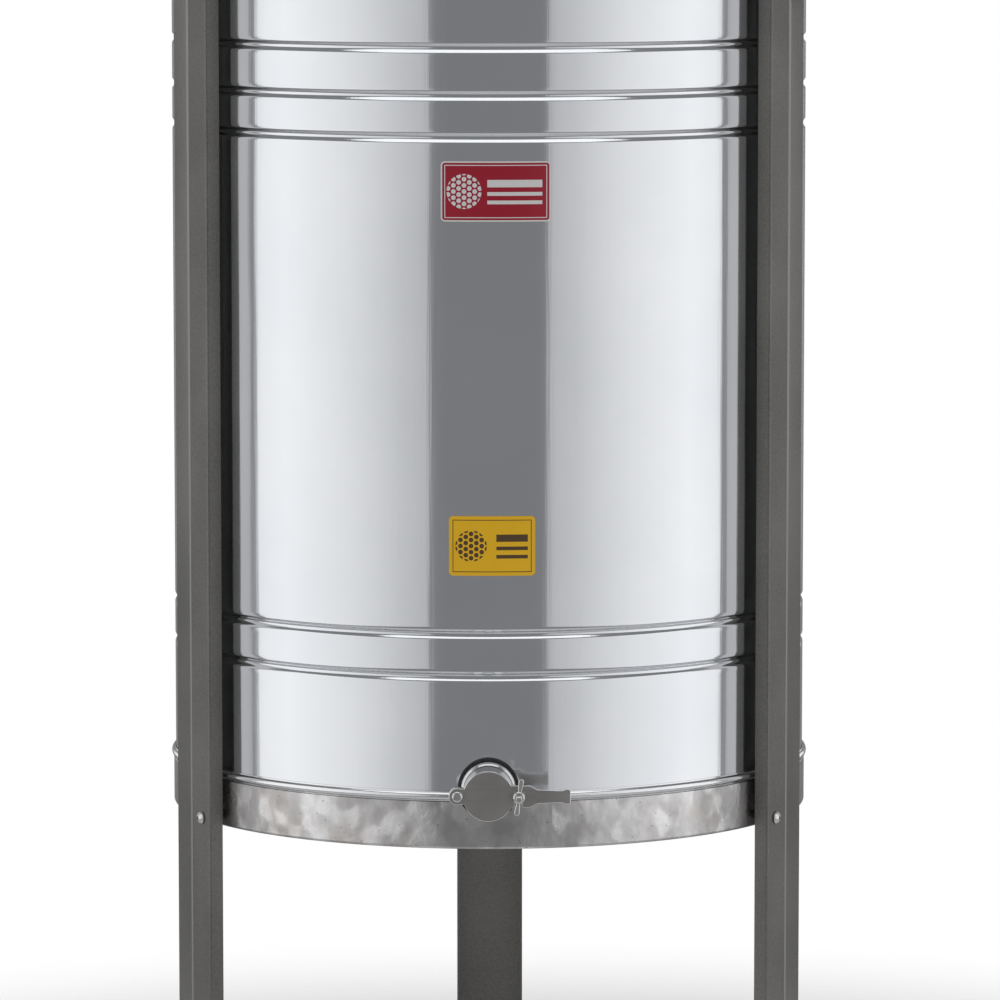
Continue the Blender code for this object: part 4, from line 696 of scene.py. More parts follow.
def button_bolt(name, head_at, nut_at, head_r, shoulder=None):
    """A bolt along Z from its nut, below, to its domed head, with its heights given."""
    curve_r = (head_r ** 2 + head_height ** 2) / (2 * head_height)
    spread = degrees(asin(head_r / curve_r))
    dome = arc((0, head_at + head_height - curve_r), curve_r, 90 - spread, 89.4, 7)
    profile = [(bolt_r - 0.0006, nut_at - nut_height - 0.002), (bolt_r, nut_at - nut_height - 0.0014)]
    if shoulder:
        low, high, shoulder_r = shoulder
        profile += [(bolt_r, low), (shoulder_r, low), (shoulder_r, high), (bolt_r, high)]
    profile += [(bolt_r, head_at), (head_r, head_at)] + dome
    made = turned(name, profile, 32)
    cut_by(made, round_bar("socket", 0.0019, (0, 0, head_at + 0.0016), (0, 0, head_at + 0.01), 6))
    nut = round_bar("nut", head_r * 0.92, (0, 0, nut_at - nut_height), (0, 0, nut_at), 6)
    applied(nut, "BEVEL", width=0.0004, segments=2, limit_method="ANGLE")
    return joined_to(made, nut)


lie_out = Matrix.Rotation(pi / 2, 4, "X")
for place_name, angle in leg_angles.items():
    shift = lower_bolt_shift if angle < 0 else -lower_bolt_shift
    web = leg_corner + (leg_ridge - leg_corner) * (1 - (abs(shift) - 0.006) / (leg_width / 2)) + gap
    skirt_inside = sqrt(skirt_in ** 2 - shift ** 2) - 0.0012
    lower = button_bolt("skirt_bolt_" + place_name, web, skirt_inside, 0.006)
    placed(lower, around(angle) @ Matrix.Translation((shift, 0, lower_bolt_z)) @ lie_out)
    finished(lower, plated, "frame", "fasteners", "lower_bolt_" + place_name)
    upper = button_bolt("rim_bolt_" + place_name, leg_ridge + gap, drum_r - sheet - 0.0014, 0.006,
                        (drum_r + gap, leg_ridge - leg_sheet - 0.001, 0.006))
    placed(upper, around(angle) @ Matrix.Translation((0, 0, upper_bolt_z)) @ lie_out)
    finished(upper, plated, "frame", "fasteners", "upper_bolt_" + place_name)
    inner = sqrt(skirt_out ** 2 - (abs(shift) - 0.006) ** 2) + gap
    rim_rise = (leg_ridge - leg_corner) * (1 - (abs(shift) + 0.006) / (leg_width / 2))
    outer = leg_corner + rim_rise - leg_sheet - 0.0006
    rims = [(bolt_hole, inner), (0.0056, inner), (0.006, inner + 0.0004), (0.006, outer - 0.0004),
            (0.0056, outer), (bolt_hole, outer), (bolt_hole, inner)]
    sleeve = turned("sleeve_" + place_name, rims, 32)
    placed(sleeve, around(angle) @ Matrix.Translation((shift, 0, lower_bolt_z)) @ lie_out)
    finished(sleeve, plated, "frame", "fasteners", "leg_spacer_" + place_name)


# The honey gate's seal: a black rubber ring squeezed between the flange and the round wall, dusty
# where it bulges out.
gate_front = Matrix.Translation((axis_x, axis_y, gate_z)) @ lie_out
seal_rubber, tree, shader = new_finish("seal_rubber")
place = linked(tree, "ShaderNodeTexCoord").outputs["Object"]
dust = linked(tree, "ShaderNodeTexNoise", Vector=place, Scale=120.0, Detail=5.0, Roughness=0.7)
dusty = linked(tree, "ShaderNodeMapRange", Value=dust.outputs["Fac"], From_Min=0.45, From_Max=0.75)
tree.links.new(toned(tree, dusty.outputs["Result"], (0.010, 0.011, 0.013), (0.05, 0.05, 0.052)),
               shader.inputs["Base Color"])
glossed(tree, shader, dust.outputs["Fac"], 0.45, 0.75)
pores = linked(tree, "ShaderNodeTexNoise", Vector=place, Scale=1400.0, Detail=2.0)
bumped(tree, shader, pores.outputs["Fac"], 0.2, 0.0003)
seal_out = 0.0295
seal_face = drum_r + 0.0033
seal_rim = arc((seal_out - 0.001, seal_face - 0.001), 0.001, 0, 90, 5)
seal_in = 0.0243
seal_loop = [(seal_in, seal_face), (seal_in, drum_r - 0.006), (seal_out, drum_r - 0.006)] + seal_rim
seal = turned("gate_seal", seal_loop + [(seal_in, seal_face)], 64)
placed(seal, gate_front)
cut_by(seal, turned("wall_form", [(drum_r + gap, gate_z - 0.05), (drum_r + gap, gate_z + 0.05)], drum_sides,
                    drum_middle))
finished(seal, seal_rubber, "frame", "seal_rubber", "gate_gasket")


# The honey gate's body: a short cast and chromed pipe through the wall, with a flange against the
# seal and two ears at the mouth, one for the blade's pivot and one for the clamping stud.
pipe_r = 0.024
gate_bore = 0.020
flange_r = 0.0262
flange_back = 0.3186
flange_front = 0.3226
gate_face = 0.360
pivot_x = -0.0295
stud_x = 0.029
ear_r = 0.008
ear_thickness = 0.010
flange_edge = arc((flange_r - 0.0012, flange_front - 0.0012), 0.0012, 0, 90, 5)
root = arc((pipe_r + 0.002, flange_front + 0.002), 0.002, 270, 180, 5)
mouth = arc((pipe_r - 0.0008, gate_face - 0.0008), 0.0008, 0, 90, 4)
outside = [(gate_bore, 0.3141), (pipe_r, 0.3141), (pipe_r, flange_back), (flange_r, flange_back)]
outside += flange_edge + root + mouth + arc((gate_bore + 0.0006, gate_face - 0.0006), 0.0006, 90, 180, 3)
gate = turned("gate_pipe", outside + [outside[0]], 64)
ears = []
for ear_x in (pivot_x, stud_x):
    toward = 1 if ear_x > 0 else -1
    start = toward * 0.0205
    loop = [(start, -0.0064)] + arc((ear_x, 0), ear_r, -90, 90, 16) + [(start, 0.0064)]
    if toward < 0:
        loop = [(start, 0.0064)] + arc((ear_x, 0), ear_r, 90, 270, 16) + [(start, -0.0064)]
    hole = arc((ear_x, 0), bolt_r + gap, 0, 345, 23)
    ears.append(flat_piece("ear", [loop, hole], ear_thickness, 0.0012,
                           Matrix.Translation((0, 0, gate_face - ear_thickness / 2))))
joined_to(gate, *ears)
placed(gate, gate_front)
chrome, tree, shader = new_finish("gate_chrome", 1.0)
place = linked(tree, "ShaderNodeTexCoord").outputs["Object"]
mist = linked(tree, "ShaderNodeTexNoise", Vector=place, Scale=55.0, Detail=5.0)
tree.links.new(toned(tree, mist.outputs["Fac"], (0.66, 0.67, 0.68), (0.86, 0.86, 0.86)),
               shader.inputs["Base Color"])
glossed(tree, shader, mist.outputs["Fac"], 0.04, 0.18)
casting = linked(tree, "ShaderNodeTexNoise", Vector=place, Scale=240.0, Detail=2.0)
bumped(tree, shader, casting.outputs["Fac"], 0.08, 0.0008)
finished(gate, chrome, "frame", "gate_chrome", "gate_body", smooth=40)


# The gate's blade: cut from thick stainless plate with its handle in one piece, its faces ground
# dull and its edges polished. It swings on the pivot bolt, and a slot lets it off the stud.
blade_r = 0.024
blade_back = 0.3603
blade_front = 0.3643
neck_half = 0.0105
waist_x = 0.048
waist_half = 0.0065
end_x = 0.078
end_half = 0.007
slot_half = bolt_r + gap


def smooth_run(first, last, steps, bulge=0.0):
    """Points from one to another, easing in and out in height."""
    points = []
    for step in range(steps + 1):
        share = step / steps
        eased = share * share * (3 - 2 * share)
        points.append((first[0] + (last[0] - first[0]) * share,
                       first[1] + (last[1] - first[1]) * eased + bulge * sin(pi * share)))
    return points


neck_angle = degrees(asin(neck_half / blade_r))
handle_top = [(stud_x + 0.004, neck_half)] + smooth_run((stud_x + 0.009, neck_half), (waist_x, waist_half), 8)
handle_top += smooth_run((waist_x + 0.002, waist_half), (end_x - 0.008, end_half - 0.0013), 5)
handle_top += [(end_x - 0.004, end_half)]
tip_top = arc((end_x - 0.002, end_half - 0.002), 0.002, 90, 0, 4)
tip_low = arc((end_x - 0.002, -end_half + 0.002), 0.002, 0, -90, 4)
handle_low = [(across, -up) for across, up in reversed(handle_top) if across > stud_x + 0.008]
slot = [(stud_x + slot_half, -neck_half)] + arc((stud_x, 0), slot_half, 0, 180, 12)
slot += [(stud_x - slot_half - 0.0012, -0.004), (stud_x - slot_half - 0.0012, -neck_half * 1.02)]
disc_low = arc((0, 0), blade_r, -neck_angle - 2, -162, 30)
disc_top = arc((0, 0), blade_r, 162, neck_angle, 30)
pivot_eye = arc((pivot_x, 0), ear_r, 286, 74, 16)
pivot_hole = arc((pivot_x, 0), bolt_r + gap, 0, 345, 23)
blade_loop = handle_top + tip_top + tip_low + handle_low + slot + disc_low + pivot_eye + disc_top
blade = flat_piece("gate_blade_plate", [blade_loop, pivot_hole], blade_front - blade_back, 0.0006,
                   gate_front @ Matrix.Translation((0, 0, (blade_back + blade_front) / 2)))
ground_steel, tree, shader = new_finish("ground_steel", 1.0)
place = linked(tree, "ShaderNodeTexCoord").outputs["Object"]
belt = linked(tree, "ShaderNodeVectorMath", operation="MULTIPLY", _0=place)
belt.inputs[1].default_value = (0.05, 0.3, 1.0)
lines = linked(tree, "ShaderNodeTexNoise", Vector=belt.outputs[0], Scale=2200.0, Detail=3.0)
patches = linked(tree, "ShaderNodeTexNoise", Vector=place, Scale=48.0, Detail=5.0)
facing = linked(tree, "ShaderNodeNewGeometry")
apart = linked(tree, "ShaderNodeSeparateXYZ", _0=facing.outputs["Normal"])
flatness = linked(tree, "ShaderNodeMath", operation="ABSOLUTE", _0=apart.outputs["Y"])
face_mask = linked(tree, "ShaderNodeMapRange", Value=flatness.outputs[0], From_Min=0.90, From_Max=0.99)
ground = toned(tree, patches.outputs["Fac"], (0.36, 0.352, 0.34), (0.50, 0.49, 0.475))
plated_or_ground = toned(tree, face_mask.outputs["Result"], (0.90, 0.90, 0.90), ground)
tree.links.new(plated_or_ground, shader.inputs["Base Color"])
lined = linked(tree, "ShaderNodeMapRange", Value=lines.outputs["Fac"], To_Min=0.26, To_Max=0.46)
edge_gloss = linked(tree, "ShaderNodeMath", operation="MULTIPLY", _0=lined.outputs["Result"])
gloss_share = linked(tree, "ShaderNodeMapRange", Value=face_mask.outputs["Result"], To_Min=0.4, To_Max=1.0)
tree.links.new(gloss_share.outputs["Result"], edge_gloss.inputs[1])
tree.links.new(edge_gloss.outputs[0], shader.inputs["Roughness"])
bumped(tree, shader, lines.outputs["Fac"], 0.12, 0.0004)
finished(blade, ground_steel, "blade", "gate_steel", "gate_blade", smooth=40)


# The blade's pivot bolt, with a low round head, and the clamping stud: a plain headed screw pushed
# through the other ear from behind, its thread standing out in front for the wing nut.
pivot_head = blade_front + gap
pivot_back = gate_face - ear_thickness - gap
low_dome = [(bolt_r, pivot_head), (0.0050, pivot_head), (0.0053, pivot_head + 0.0006)]
low_dome += arc((0.0031, pivot_head + 0.0012), 0.0022, 0, 88, 7) + [(0.0012, pivot_head + 0.00348)]
pivot = turned("pivot_screw", [(0.0024, pivot_back - nut_height - 0.002),
                               (bolt_r, pivot_back - nut_height - 0.0014)]
               + low_dome, 48)
pivot_nut = round_bar("nut", 0.0049, (0, 0, pivot_back - nut_height), (0, 0, pivot_back), 6)
applied(pivot_nut, "BEVEL", width=0.0004, segments=2, limit_method="ANGLE")
joined_to(pivot, pivot_nut)
placed(pivot, gate_front @ Matrix.Translation((pivot_x, 0, 0)))
finished(pivot, plated, "frame", "fasteners", "gate_pivot_bolt")

stud_end = 0.3828
pitch = 0.0010
thread_start = blade_front - 0.002
thread = []
for turn in range(int((stud_end - 0.0010 - thread_start) / pitch)):
    thread += [(bolt_r, thread_start + turn * pitch), (bolt_r, thread_start + (turn + 0.2) * pitch),
               (bolt_r - 0.0006, thread_start + (turn + 0.6) * pitch)]
stud_profile = [(bolt_r, pivot_back - nut_height)] + thread
stud_profile += [(bolt_r - 0.0002, stud_end - 0.0009), (bolt_r - 0.0009, stud_end)]
stud = turned("clamp_stud", stud_profile, 32)
stud_head = round_bar("head", 0.0053, (0, 0, pivot_back - nut_height), (0, 0, pivot_back), 6)
applied(stud_head, "BEVEL", width=0.0004, segments=2, limit_method="ANGLE")
joined_to(stud, stud_head)
placed(stud, gate_front @ Matrix.Translation((stud_x, 0, 0)))
finished(stud, plated, "frame", "fasteners", "gate_stud")


# The wing nut that clamps the blade shut: cast, with a round hub and two flat wings that lean a
# little.
nut_base = blade_front + gap
hub_r = 0.0066
hub_height = 0.008
wing_reach = 0.0178
wing_tip = 0.0027
wing_lean = 8.0
hub_profile = [(bolt_r + gap, nut_base), (hub_r - 0.0004, nut_base), (hub_r, nut_base + 0.0005),
               (hub_r * 0.97, nut_base + 0.0016), (hub_r * 0.88, nut_base + hub_height - 0.0016),
               (hub_r * 0.80, nut_base + hub_height - 0.0007), (hub_r * 0.66, nut_base + hub_height),
               (bolt_r + 0.0006, nut_base + hub_height),
               (bolt_r + gap, nut_base + hub_height - 0.0005), (bolt_r + gap, nut_base)]
hub = turned("clamp_wing_nut", hub_profile, 32)
reach = wing_reach - wing_tip
wings = []
for toward in (1, -1):
    wing_end = arc((0, toward * reach), wing_tip, -10 * toward, 190 * toward, 12)
    wing_loop = [(0.0017, toward * 0.0040)] + wing_end
    wing_loop += [(-0.0017, toward * 0.0040)]
    if toward > 0:
        wing_loop = wing_loop[::-1]
    wings.append(flat_piece("wing", [wing_loop], 0.0028, 0.0009,
                            Matrix.Translation((0, 0, nut_base + hub_height - 0.0034))))
joined_to(hub, *wings)
placed(hub, gate_front @ Matrix.Translation((stud_x, 0, 0)) @ Matrix.Rotation(radians(-wing_lean), 4, "Z"))
finished(hub, plated, "clamp_nut", "fasteners", "wing_nut", smooth=40)


# Two vinyl stickers that follow the wall: a red one high up, framed in white, and a smaller yellow
# one near the gate. Both carry only a plain honeycomb sign and bars.
label_back = drum_r + gap
label_front = drum_r + 0.0007
label_corner = 0.004
sticker_print, print_in, print_out = node_group(
    "sticker_print", {"Middle X": 0.0, "Middle Z": 0.0, "Half Width": 0.05, "Half Height": 0.03,
                      "Sign X": -0.03, "Sign Radius": 0.016, "Bars X": 0.02, "Bars Half": 0.02},
    {"Edge": "NodeSocketFloat", "Line": "NodeSocketFloat", "Comb": "NodeSocketFloat",
     "Bars": "NodeSocketFloat"})


def sums(tree, operation, first, second=None, third=None):
    """One step of arithmetic on sockets or numbers."""
    step = tree.nodes.new("ShaderNodeMath")
    step.operation = operation
    for socket, value in zip(step.inputs, (first, second, third)):
        if isinstance(value, bpy.types.NodeSocket):
            tree.links.new(value, socket)
        elif value is not None:
            socket.default_value = value
    return step.outputs[0]


def band(tree, value, low, high, soft=0.00008):
    """One where a value lies between two others, with softened sides."""
    above = linked(tree, "ShaderNodeMapRange", Value=value, From_Min=low - soft, From_Max=low + soft)
    below = linked(tree, "ShaderNodeMapRange", Value=value, From_Min=high + soft, From_Max=high - soft)
    return sums(tree, "MULTIPLY", above.outputs["Result"], below.outputs["Result"])


place = linked(sticker_print, "ShaderNodeTexCoord").outputs["Object"]
axes = linked(sticker_print, "ShaderNodeSeparateXYZ", _0=place)
across = sums(sticker_print, "SUBTRACT", axes.outputs["X"], print_in.outputs["Middle X"])
up = sums(sticker_print, "SUBTRACT", axes.outputs["Z"], print_in.outputs["Middle Z"])
side_gap = sums(sticker_print, "SUBTRACT", sums(sticker_print, "ABSOLUTE", across),
                sums(sticker_print, "SUBTRACT", print_in.outputs["Half Width"], label_corner))
end_gap = sums(sticker_print, "SUBTRACT", sums(sticker_print, "ABSOLUTE", up),
               sums(sticker_print, "SUBTRACT", print_in.outputs["Half Height"], label_corner))
corner_gap = sums(sticker_print, "SQRT", sums(
    sticker_print, "ADD", sums(sticker_print, "POWER", sums(sticker_print, "MAXIMUM", side_gap, 0.0), 2.0),
    sums(sticker_print, "POWER", sums(sticker_print, "MAXIMUM", end_gap, 0.0), 2.0)))
flat_gap = sums(sticker_print, "MINIMUM", sums(sticker_print, "MAXIMUM", side_gap, end_gap), 0.0)
inside_edge = sums(sticker_print, "SUBTRACT", sums(sticker_print, "ADD", corner_gap, flat_gap), label_corner)
sign_x = sums(sticker_print, "SUBTRACT", across, print_in.outputs["Sign X"])
waves_sum = None
for angle in (0, 60, 120):
    along = sums(sticker_print, "ADD", sums(sticker_print, "MULTIPLY", sign_x, cos(radians(angle)) * 1250),
                 sums(sticker_print, "MULTIPLY", up, sin(radians(angle)) * 1250))
    wave = sums(sticker_print, "COSINE", along)
    waves_sum = wave if waves_sum is None else sums(sticker_print, "ADD", waves_sum, wave)
cells_mask = linked(sticker_print, "ShaderNodeMapRange", Value=waves_sum, From_Min=-0.65, From_Max=-0.45)
from_sign = sums(sticker_print, "SQRT", sums(sticker_print, "ADD", sums(sticker_print, "POWER", sign_x, 2.0),
                                             sums(sticker_print, "POWER", up, 2.0)))
in_sign = linked(sticker_print, "ShaderNodeMapRange", Value=sums(
    sticker_print, "SUBTRACT", from_sign, print_in.outputs["Sign Radius"]), From_Min=0.0001, From_Max=-0.0001)
comb = sums(sticker_print, "MULTIPLY", cells_mask.outputs["Result"], in_sign.outputs["Result"])
bar_x = sums(sticker_print, "ABSOLUTE", sums(sticker_print, "SUBTRACT", across, print_in.outputs["Bars X"]))
bar_mask = linked(sticker_print, "ShaderNodeMapRange", Value=sums(
    sticker_print, "SUBTRACT", bar_x, print_in.outputs["Bars Half"]), From_Min=0.0001, From_Max=-0.0001)
bars = None
for low, high in ((0.004, 0.011), (-0.004, -0.0005), (-0.012, -0.0085)):
    stripe = band(sticker_print, up, low, high)
    bars = stripe if bars is None else sums(sticker_print, "MAXIMUM", bars, stripe)
bars = sums(sticker_print, "MULTIPLY", bars, bar_mask.outputs["Result"])
for label, source in (("Edge", band(sticker_print, inside_edge, -0.0014, 1.0)),
                      ("Line", band(sticker_print, inside_edge, -0.0042, -0.0034)),
                      ("Comb", comb), ("Bars", bars)):
    sticker_print.links.new(source, print_out.inputs[label])


def sticker(name, node, base, inks, sign, roughness):
    """A curved, round-cornered sticker with its own vinyl and inks."""
    low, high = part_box(node)
    middle = ((low.x + high.x) / 2, (low.z + high.z) / 2)
    width = high.x - low.x
    height = high.z - low.z
    ring = [(label_back, low.z - 0.01), (label_front, low.z - 0.01), (label_front, high.z + 0.01),
            (label_back, high.z + 0.01), (label_back, low.z - 0.01)]
    made = turned(name, ring, drum_sides, drum_middle)
    window = flat_piece("window", [rounded_outline(middle, width, height, label_corner)], 0.1, 0.0,
                        Matrix.Translation((0, axis_y - drum_r, 0)) @ lie_out)
    cut_by(made, window, "INTERSECT")
    vinyl, tree, shader = new_finish(name + "_vinyl")
    marks = linked(tree, "ShaderNodeGroup", node_tree=sticker_print)
    for label, value in (("Middle X", middle[0]), ("Middle Z", middle[1]), ("Half Width", width / 2),
                         ("Half Height", height / 2), *sign):
        marks.inputs[label].default_value = value
    place = linked(tree, "ShaderNodeTexCoord").outputs["Object"]
    faded = linked(tree, "ShaderNodeTexNoise", Vector=place, Scale=30.0, Detail=4.0)
    colour = toned(tree, faded.outputs["Fac"], base, tuple(channel * 1.08 for channel in base))
    for label, ink in zip(("Edge", "Line", "Comb", "Bars"), inks):
        colour = toned(tree, marks.outputs[label], colour, ink)
    tree.links.new(colour, shader.inputs["Base Color"])
    glossed(tree, shader, faded.outputs["Fac"], roughness, roughness + 0.12)
    creases = linked(tree, "ShaderNodeTexNoise", Vector=place, Scale=60.0, Detail=2.0)
    bumped(tree, shader, creases.outputs["Fac"], 0.1, 0.001)
    shader.inputs["Coat Weight"].default_value = 0.2
    shader.inputs["Coat Roughness"].default_value = 0.15
    return finished(made, vinyl, "frame", node.replace("_label", "_vinyl"), node)


white = (0.80, 0.80, 0.79)
sticker("red_sticker", "red_label", (0.37, 0.006, 0.026), (white, white, white, white),
        (("Sign X", -0.030), ("Sign Radius", 0.0165), ("Bars X", 0.018), ("Bars Half", 0.026)), 0.28)
brown = (0.10, 0.055, 0.02)
sticker("yellow_sticker", "yellow_label", (0.92, 0.53, 0.008), ((0.92, 0.53, 0.008), brown, brown, brown),
        (("Sign X", -0.020), ("Sign Radius", 0.0150), ("Bars X", 0.019), ("Bars Half", 0.015)), 0.32)


# The crossbar: a folded steel channel bolted through its end tabs to the drum's rim. It carries
# the gears and the crank's stands, and has ears along both sides for the lids' hinge pins.
bar_top = 1.2833
bar_bottom = bar_top - 0.003


def softened(name, node, width, angle=30):
    """A CAD solid copied and merged, with its sharp edges rounded."""
    copy = bpy.data.objects.new(name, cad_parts[node].data.copy())
    bpy.context.scene.collection.objects.link(copy)
    picked(copy)
    bpy.ops.object.mode_set(mode="EDIT")
    bpy.ops.mesh.select_all(action="SELECT")
    bpy.ops.mesh.remove_doubles(threshold=0.00001)
    bpy.ops.mesh.dissolve_limited(angle_limit=radians(1.5))
    bpy.ops.object.mode_set(mode="OBJECT")
    return applied(copy, "BEVEL", width=width, segments=2, limit_method="ANGLE", angle_limit=radians(angle))


brushed_sheet = sheet_metal("brushed_sheet", (0.60, 0.61, 0.63), (0.74, 0.75, 0.76), 0.17, 0.33,
                            Wave=0.05, Wave_Scale=5.0, Grain=0.12, Grain_Scale=420.0, Grain_Stretch=1.0)
finished(softened("folded_crossbar", "crossbar", 0.0005), brushed_sheet, "frame", "sheet_steel", "crossbar",
         smooth=28)

tab_x = 0.3234
tab_bolt_z = bar_top - 0.025
for place_name, side in (("left", -1), ("right", 1)):
    bolt = button_bolt("bar_bolt_" + place_name, tab_x + 0.0033, drum_r - sheet - 0.0014, 0.006,
                       (drum_r + gap, tab_x - gap, 0.006))
    placed(bolt, Matrix.Translation((axis_x, axis_y, tab_bolt_z)) @ Matrix.Rotation(side * pi / 2, 4, "Y"))
    finished(bolt, plated, "frame", "fasteners", "crossbar_bolt_" + place_name)
    cut_by(wall, round_bar("hole", bolt_hole, (axis_x + side * (drum_r - 0.03), axis_y, tab_bolt_z),
                           (axis_x + side * (drum_r + 0.002), axis_y, tab_bolt_z), 24))
finished(wall, drum_steel, "frame", "drum_steel", smooth=40)


# The two lids: half-moons of bright sheet with a pressed stiffening ring, their straight edges
# rolled into a hinge barrel round a steel pin. Each has a black knob near its rim.
lid_r = drum_r + 0.0055
lid_sheet = 0.002
barrel_r = 0.0032
barrel_half = 0.204
hinge_y = (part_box("lid_hinge_pin_back")[0].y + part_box("lid_hinge_pin_back")[1].y) / 2 - axis_y
hinge_z = bar_bottom + barrel_r
lid_edge = hinge_y + 0.006
rib_r = 0.285
rib_rise = 0.0014
knob_y = drum_r - 0.053
black_plastic, tree, shader = new_finish("knob_plastic")
place = linked(tree, "ShaderNodeTexCoord").outputs["Object"]
spark = linked(tree, "ShaderNodeTexNoise", Vector=place, Scale=700.0, Detail=3.0)
handled = linked(tree, "ShaderNodeTexNoise", Vector=place, Scale=90.0, Detail=4.0)
tree.links.new(toned(tree, handled.outputs["Fac"], (0.012, 0.012, 0.013), (0.035, 0.034, 0.033)),
               shader.inputs["Base Color"])
glossed(tree, shader, handled.outputs["Fac"], 0.22, 0.48)
bumped(tree, shader, spark.outputs["Fac"], 0.15, 0.0004)

for place_name, half_turn in (("front", pi), ("back", 0)):
    over_bar = Matrix.Translation(drum_middle) @ Matrix.Rotation(half_turn, 4, "Z")
    first = degrees(asin(lid_edge / lid_r))
    moon = arc((0, 0), lid_r, first, 180 - first, 120)
    tongue = barrel_half - 0.0010
    root = lid_edge + 0.0006
    moon += [(-tongue, root), (-tongue, hinge_y), (tongue, hinge_y), (tongue, root)]
    stem_hole = arc((0, knob_y), 0.0033, 0, 345, 23)
    lid = flat_piece("half_lid_" + place_name, [moon, stem_hole], lid_sheet, 0.0003,
                     Matrix.Translation((0, 0, bar_bottom + lid_sheet / 2)))
    barrel = round_bar("barrel", barrel_r - 0.00006, (-barrel_half, hinge_y, hinge_z),
                       (barrel_half, hinge_y, hinge_z), 24)
    joined_to(lid, barrel)
    cut_by(lid, round_bar("bore", 0.0018, (-0.25, hinge_y, hinge_z), (0.25, hinge_y, hinge_z), 16))
    top_face = bar_bottom + lid_sheet
    swell = [(rib_r + 0.006 * cos(radians(turn)),
              top_face - 0.0004 + (rib_rise + 0.0004) * sin(radians(turn)))
             for turn in range(0, 181, 20)]
    rib = turned("rib", swell + [(rib_r - 0.006, top_face - 0.001), (rib_r + 0.006, top_face - 0.001),
                                 swell[0]],
                 128)
    keep = block("keep", (-0.4, lid_edge + 0.016, 1.2), (0.4, 0.4, 1.4))
    cut_by(rib, keep, "INTERSECT")
    joined_to(lid, rib)
    placed(lid, over_bar)
    finished(lid, brushed_sheet, place_name + "_lid", "sheet_steel", "lid_" + place_name, smooth=28)
    seat = top_face + gap
    crown = seat + 0.022
    knob_skin = [(0.003, bar_bottom - 0.0043), (0.0051, bar_bottom - 0.0043), (0.0055, bar_bottom - 0.0038),
                 (0.0055, bar_bottom - 0.0008), (0.0051, bar_bottom - gap), (0.003, bar_bottom - gap),
                 (0.003, seat), (0.0094, seat), (0.0098, seat + 0.0006)]
    knob_skin += [(radius, height) for height, radius in
                  ((seat + across, 0.0098 + up) for across, up in
                   ((0.002, -0.0016), (0.004, -0.0026), (0.006, -0.0024), (0.008, -0.0006),
                     (0.0105, 0.0026)))]
    knob_skin += arc((0.0098, crown - 0.0080), 0.0042, -20, 60, 6)
    knob_skin += [(0.0100, crown - 0.0027), (0.0070, crown - 0.0011), (0.0035, crown - gap), (0.0004, crown)]
    knob = turned("lid_pull_" + place_name, knob_skin, 48, (0, knob_y, 0))
    placed(knob, over_bar)
    finished(knob, black_plastic, place_name + "_lid", "knob_plastic", "lid_knob_" + place_name, smooth=45)
    pin_low, pin_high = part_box("lid_hinge_pin_" + place_name)
    pin_r = (pin_high.z - pin_low.z) / 2
    half = (pin_high.x - pin_low.x) / 2
    pin_skin = [(0.0003, -half), (pin_r * 0.7, -half + 0.0002), (pin_r, -half + 0.0009)]
    pin_skin += [(radius, -height) for radius, height in reversed(pin_skin)]
    pin = turned("hinge_rod_" + place_name, pin_skin, 20, (0, 0, 0), (0, pi / 2, 0))
    placed(pin, over_bar @ Matrix.Translation((0, hinge_y, hinge_z)))
    finished(pin, plated, "frame", "fasteners", "lid_hinge_pin_" + place_name)


# The bearing of the reel's shaft in the crossbar: a turned bronze bush with a flange and an oil
# groove, darkened by old oil.
bush_top = 1.2886
bush_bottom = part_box("top_bearing")[0].z
journal_bore = 0.0083
bush_skin = [(journal_bore, bush_top - 0.0006), (journal_bore + 0.0006, bush_top), (0.0150, bush_top),
             (0.0156, bush_top - 0.0006), (0.0164, bush_top - 0.0006), (0.0170, bush_top), (0.0243, bush_top)]
bush_skin += arc((0.0243, bush_top - 0.0007), 0.0007, 90, 0, 4)
bush_skin += [(0.025, bar_top + 0.0008), (0.0245, bar_top + gap), (0.017, bar_top + gap),
              (0.017, bush_bottom + 0.0008), (0.0162, bush_bottom), (journal_bore + 0.0006, bush_bottom),
              (journal_bore, bush_bottom + 0.0006)]
bush = turned("shaft_bush", bush_skin + [bush_skin[0]], 64, drum_middle)
oiled_bronze = sheet_metal("oiled_bronze", (0.30, 0.19, 0.07), (0.58, 0.40, 0.17), 0.20, 0.42,
                           Wave=0.10, Wave_Scale=60.0, Grain=0.15, Grain_Scale=1500.0, Grain_Stretch=1.0)
finished(bush, oiled_bronze, "frame", "bearing_bronze", "top_bearing")


# The bevel gears: cut from grey iron, the large one on the crank's shaft and the small one on the
# reel's, three to one. Oil and dust have darkened the roots and the tips are worn bright.
gear_iron, tree, shader = new_finish("gear_iron", 0.9)
place = linked(tree, "ShaderNodeTexCoord").outputs["Object"]
grime = linked(tree, "ShaderNodeTexNoise", Vector=place, Scale=75.0, Detail=6.0, Roughness=0.7)
edges = linked(tree, "ShaderNodeNewGeometry")
tips = linked(tree, "ShaderNodeMapRange", Value=edges.outputs["Pointiness"], From_Min=0.50, From_Max=0.58)
iron = toned(tree, grime.outputs["Fac"], (0.09, 0.088, 0.085), (0.30, 0.30, 0.30))
tree.links.new(toned(tree, tips.outputs["Result"], iron, (0.55, 0.55, 0.54)), shader.inputs["Base Color"])
glossed(tree, shader, grime.outputs["Fac"], 0.22, 0.55)
milled = linked(tree, "ShaderNodeTexNoise", Vector=place, Scale=800.0, Detail=2.0)
bumped(tree, shader, milled.outputs["Fac"], 0.2, 0.0004)
finished(softened("large_bevel", "crank_gear", 0.00025, 26), gear_iron, "crank", "gear_iron", "crank_gear",
         smooth=24)
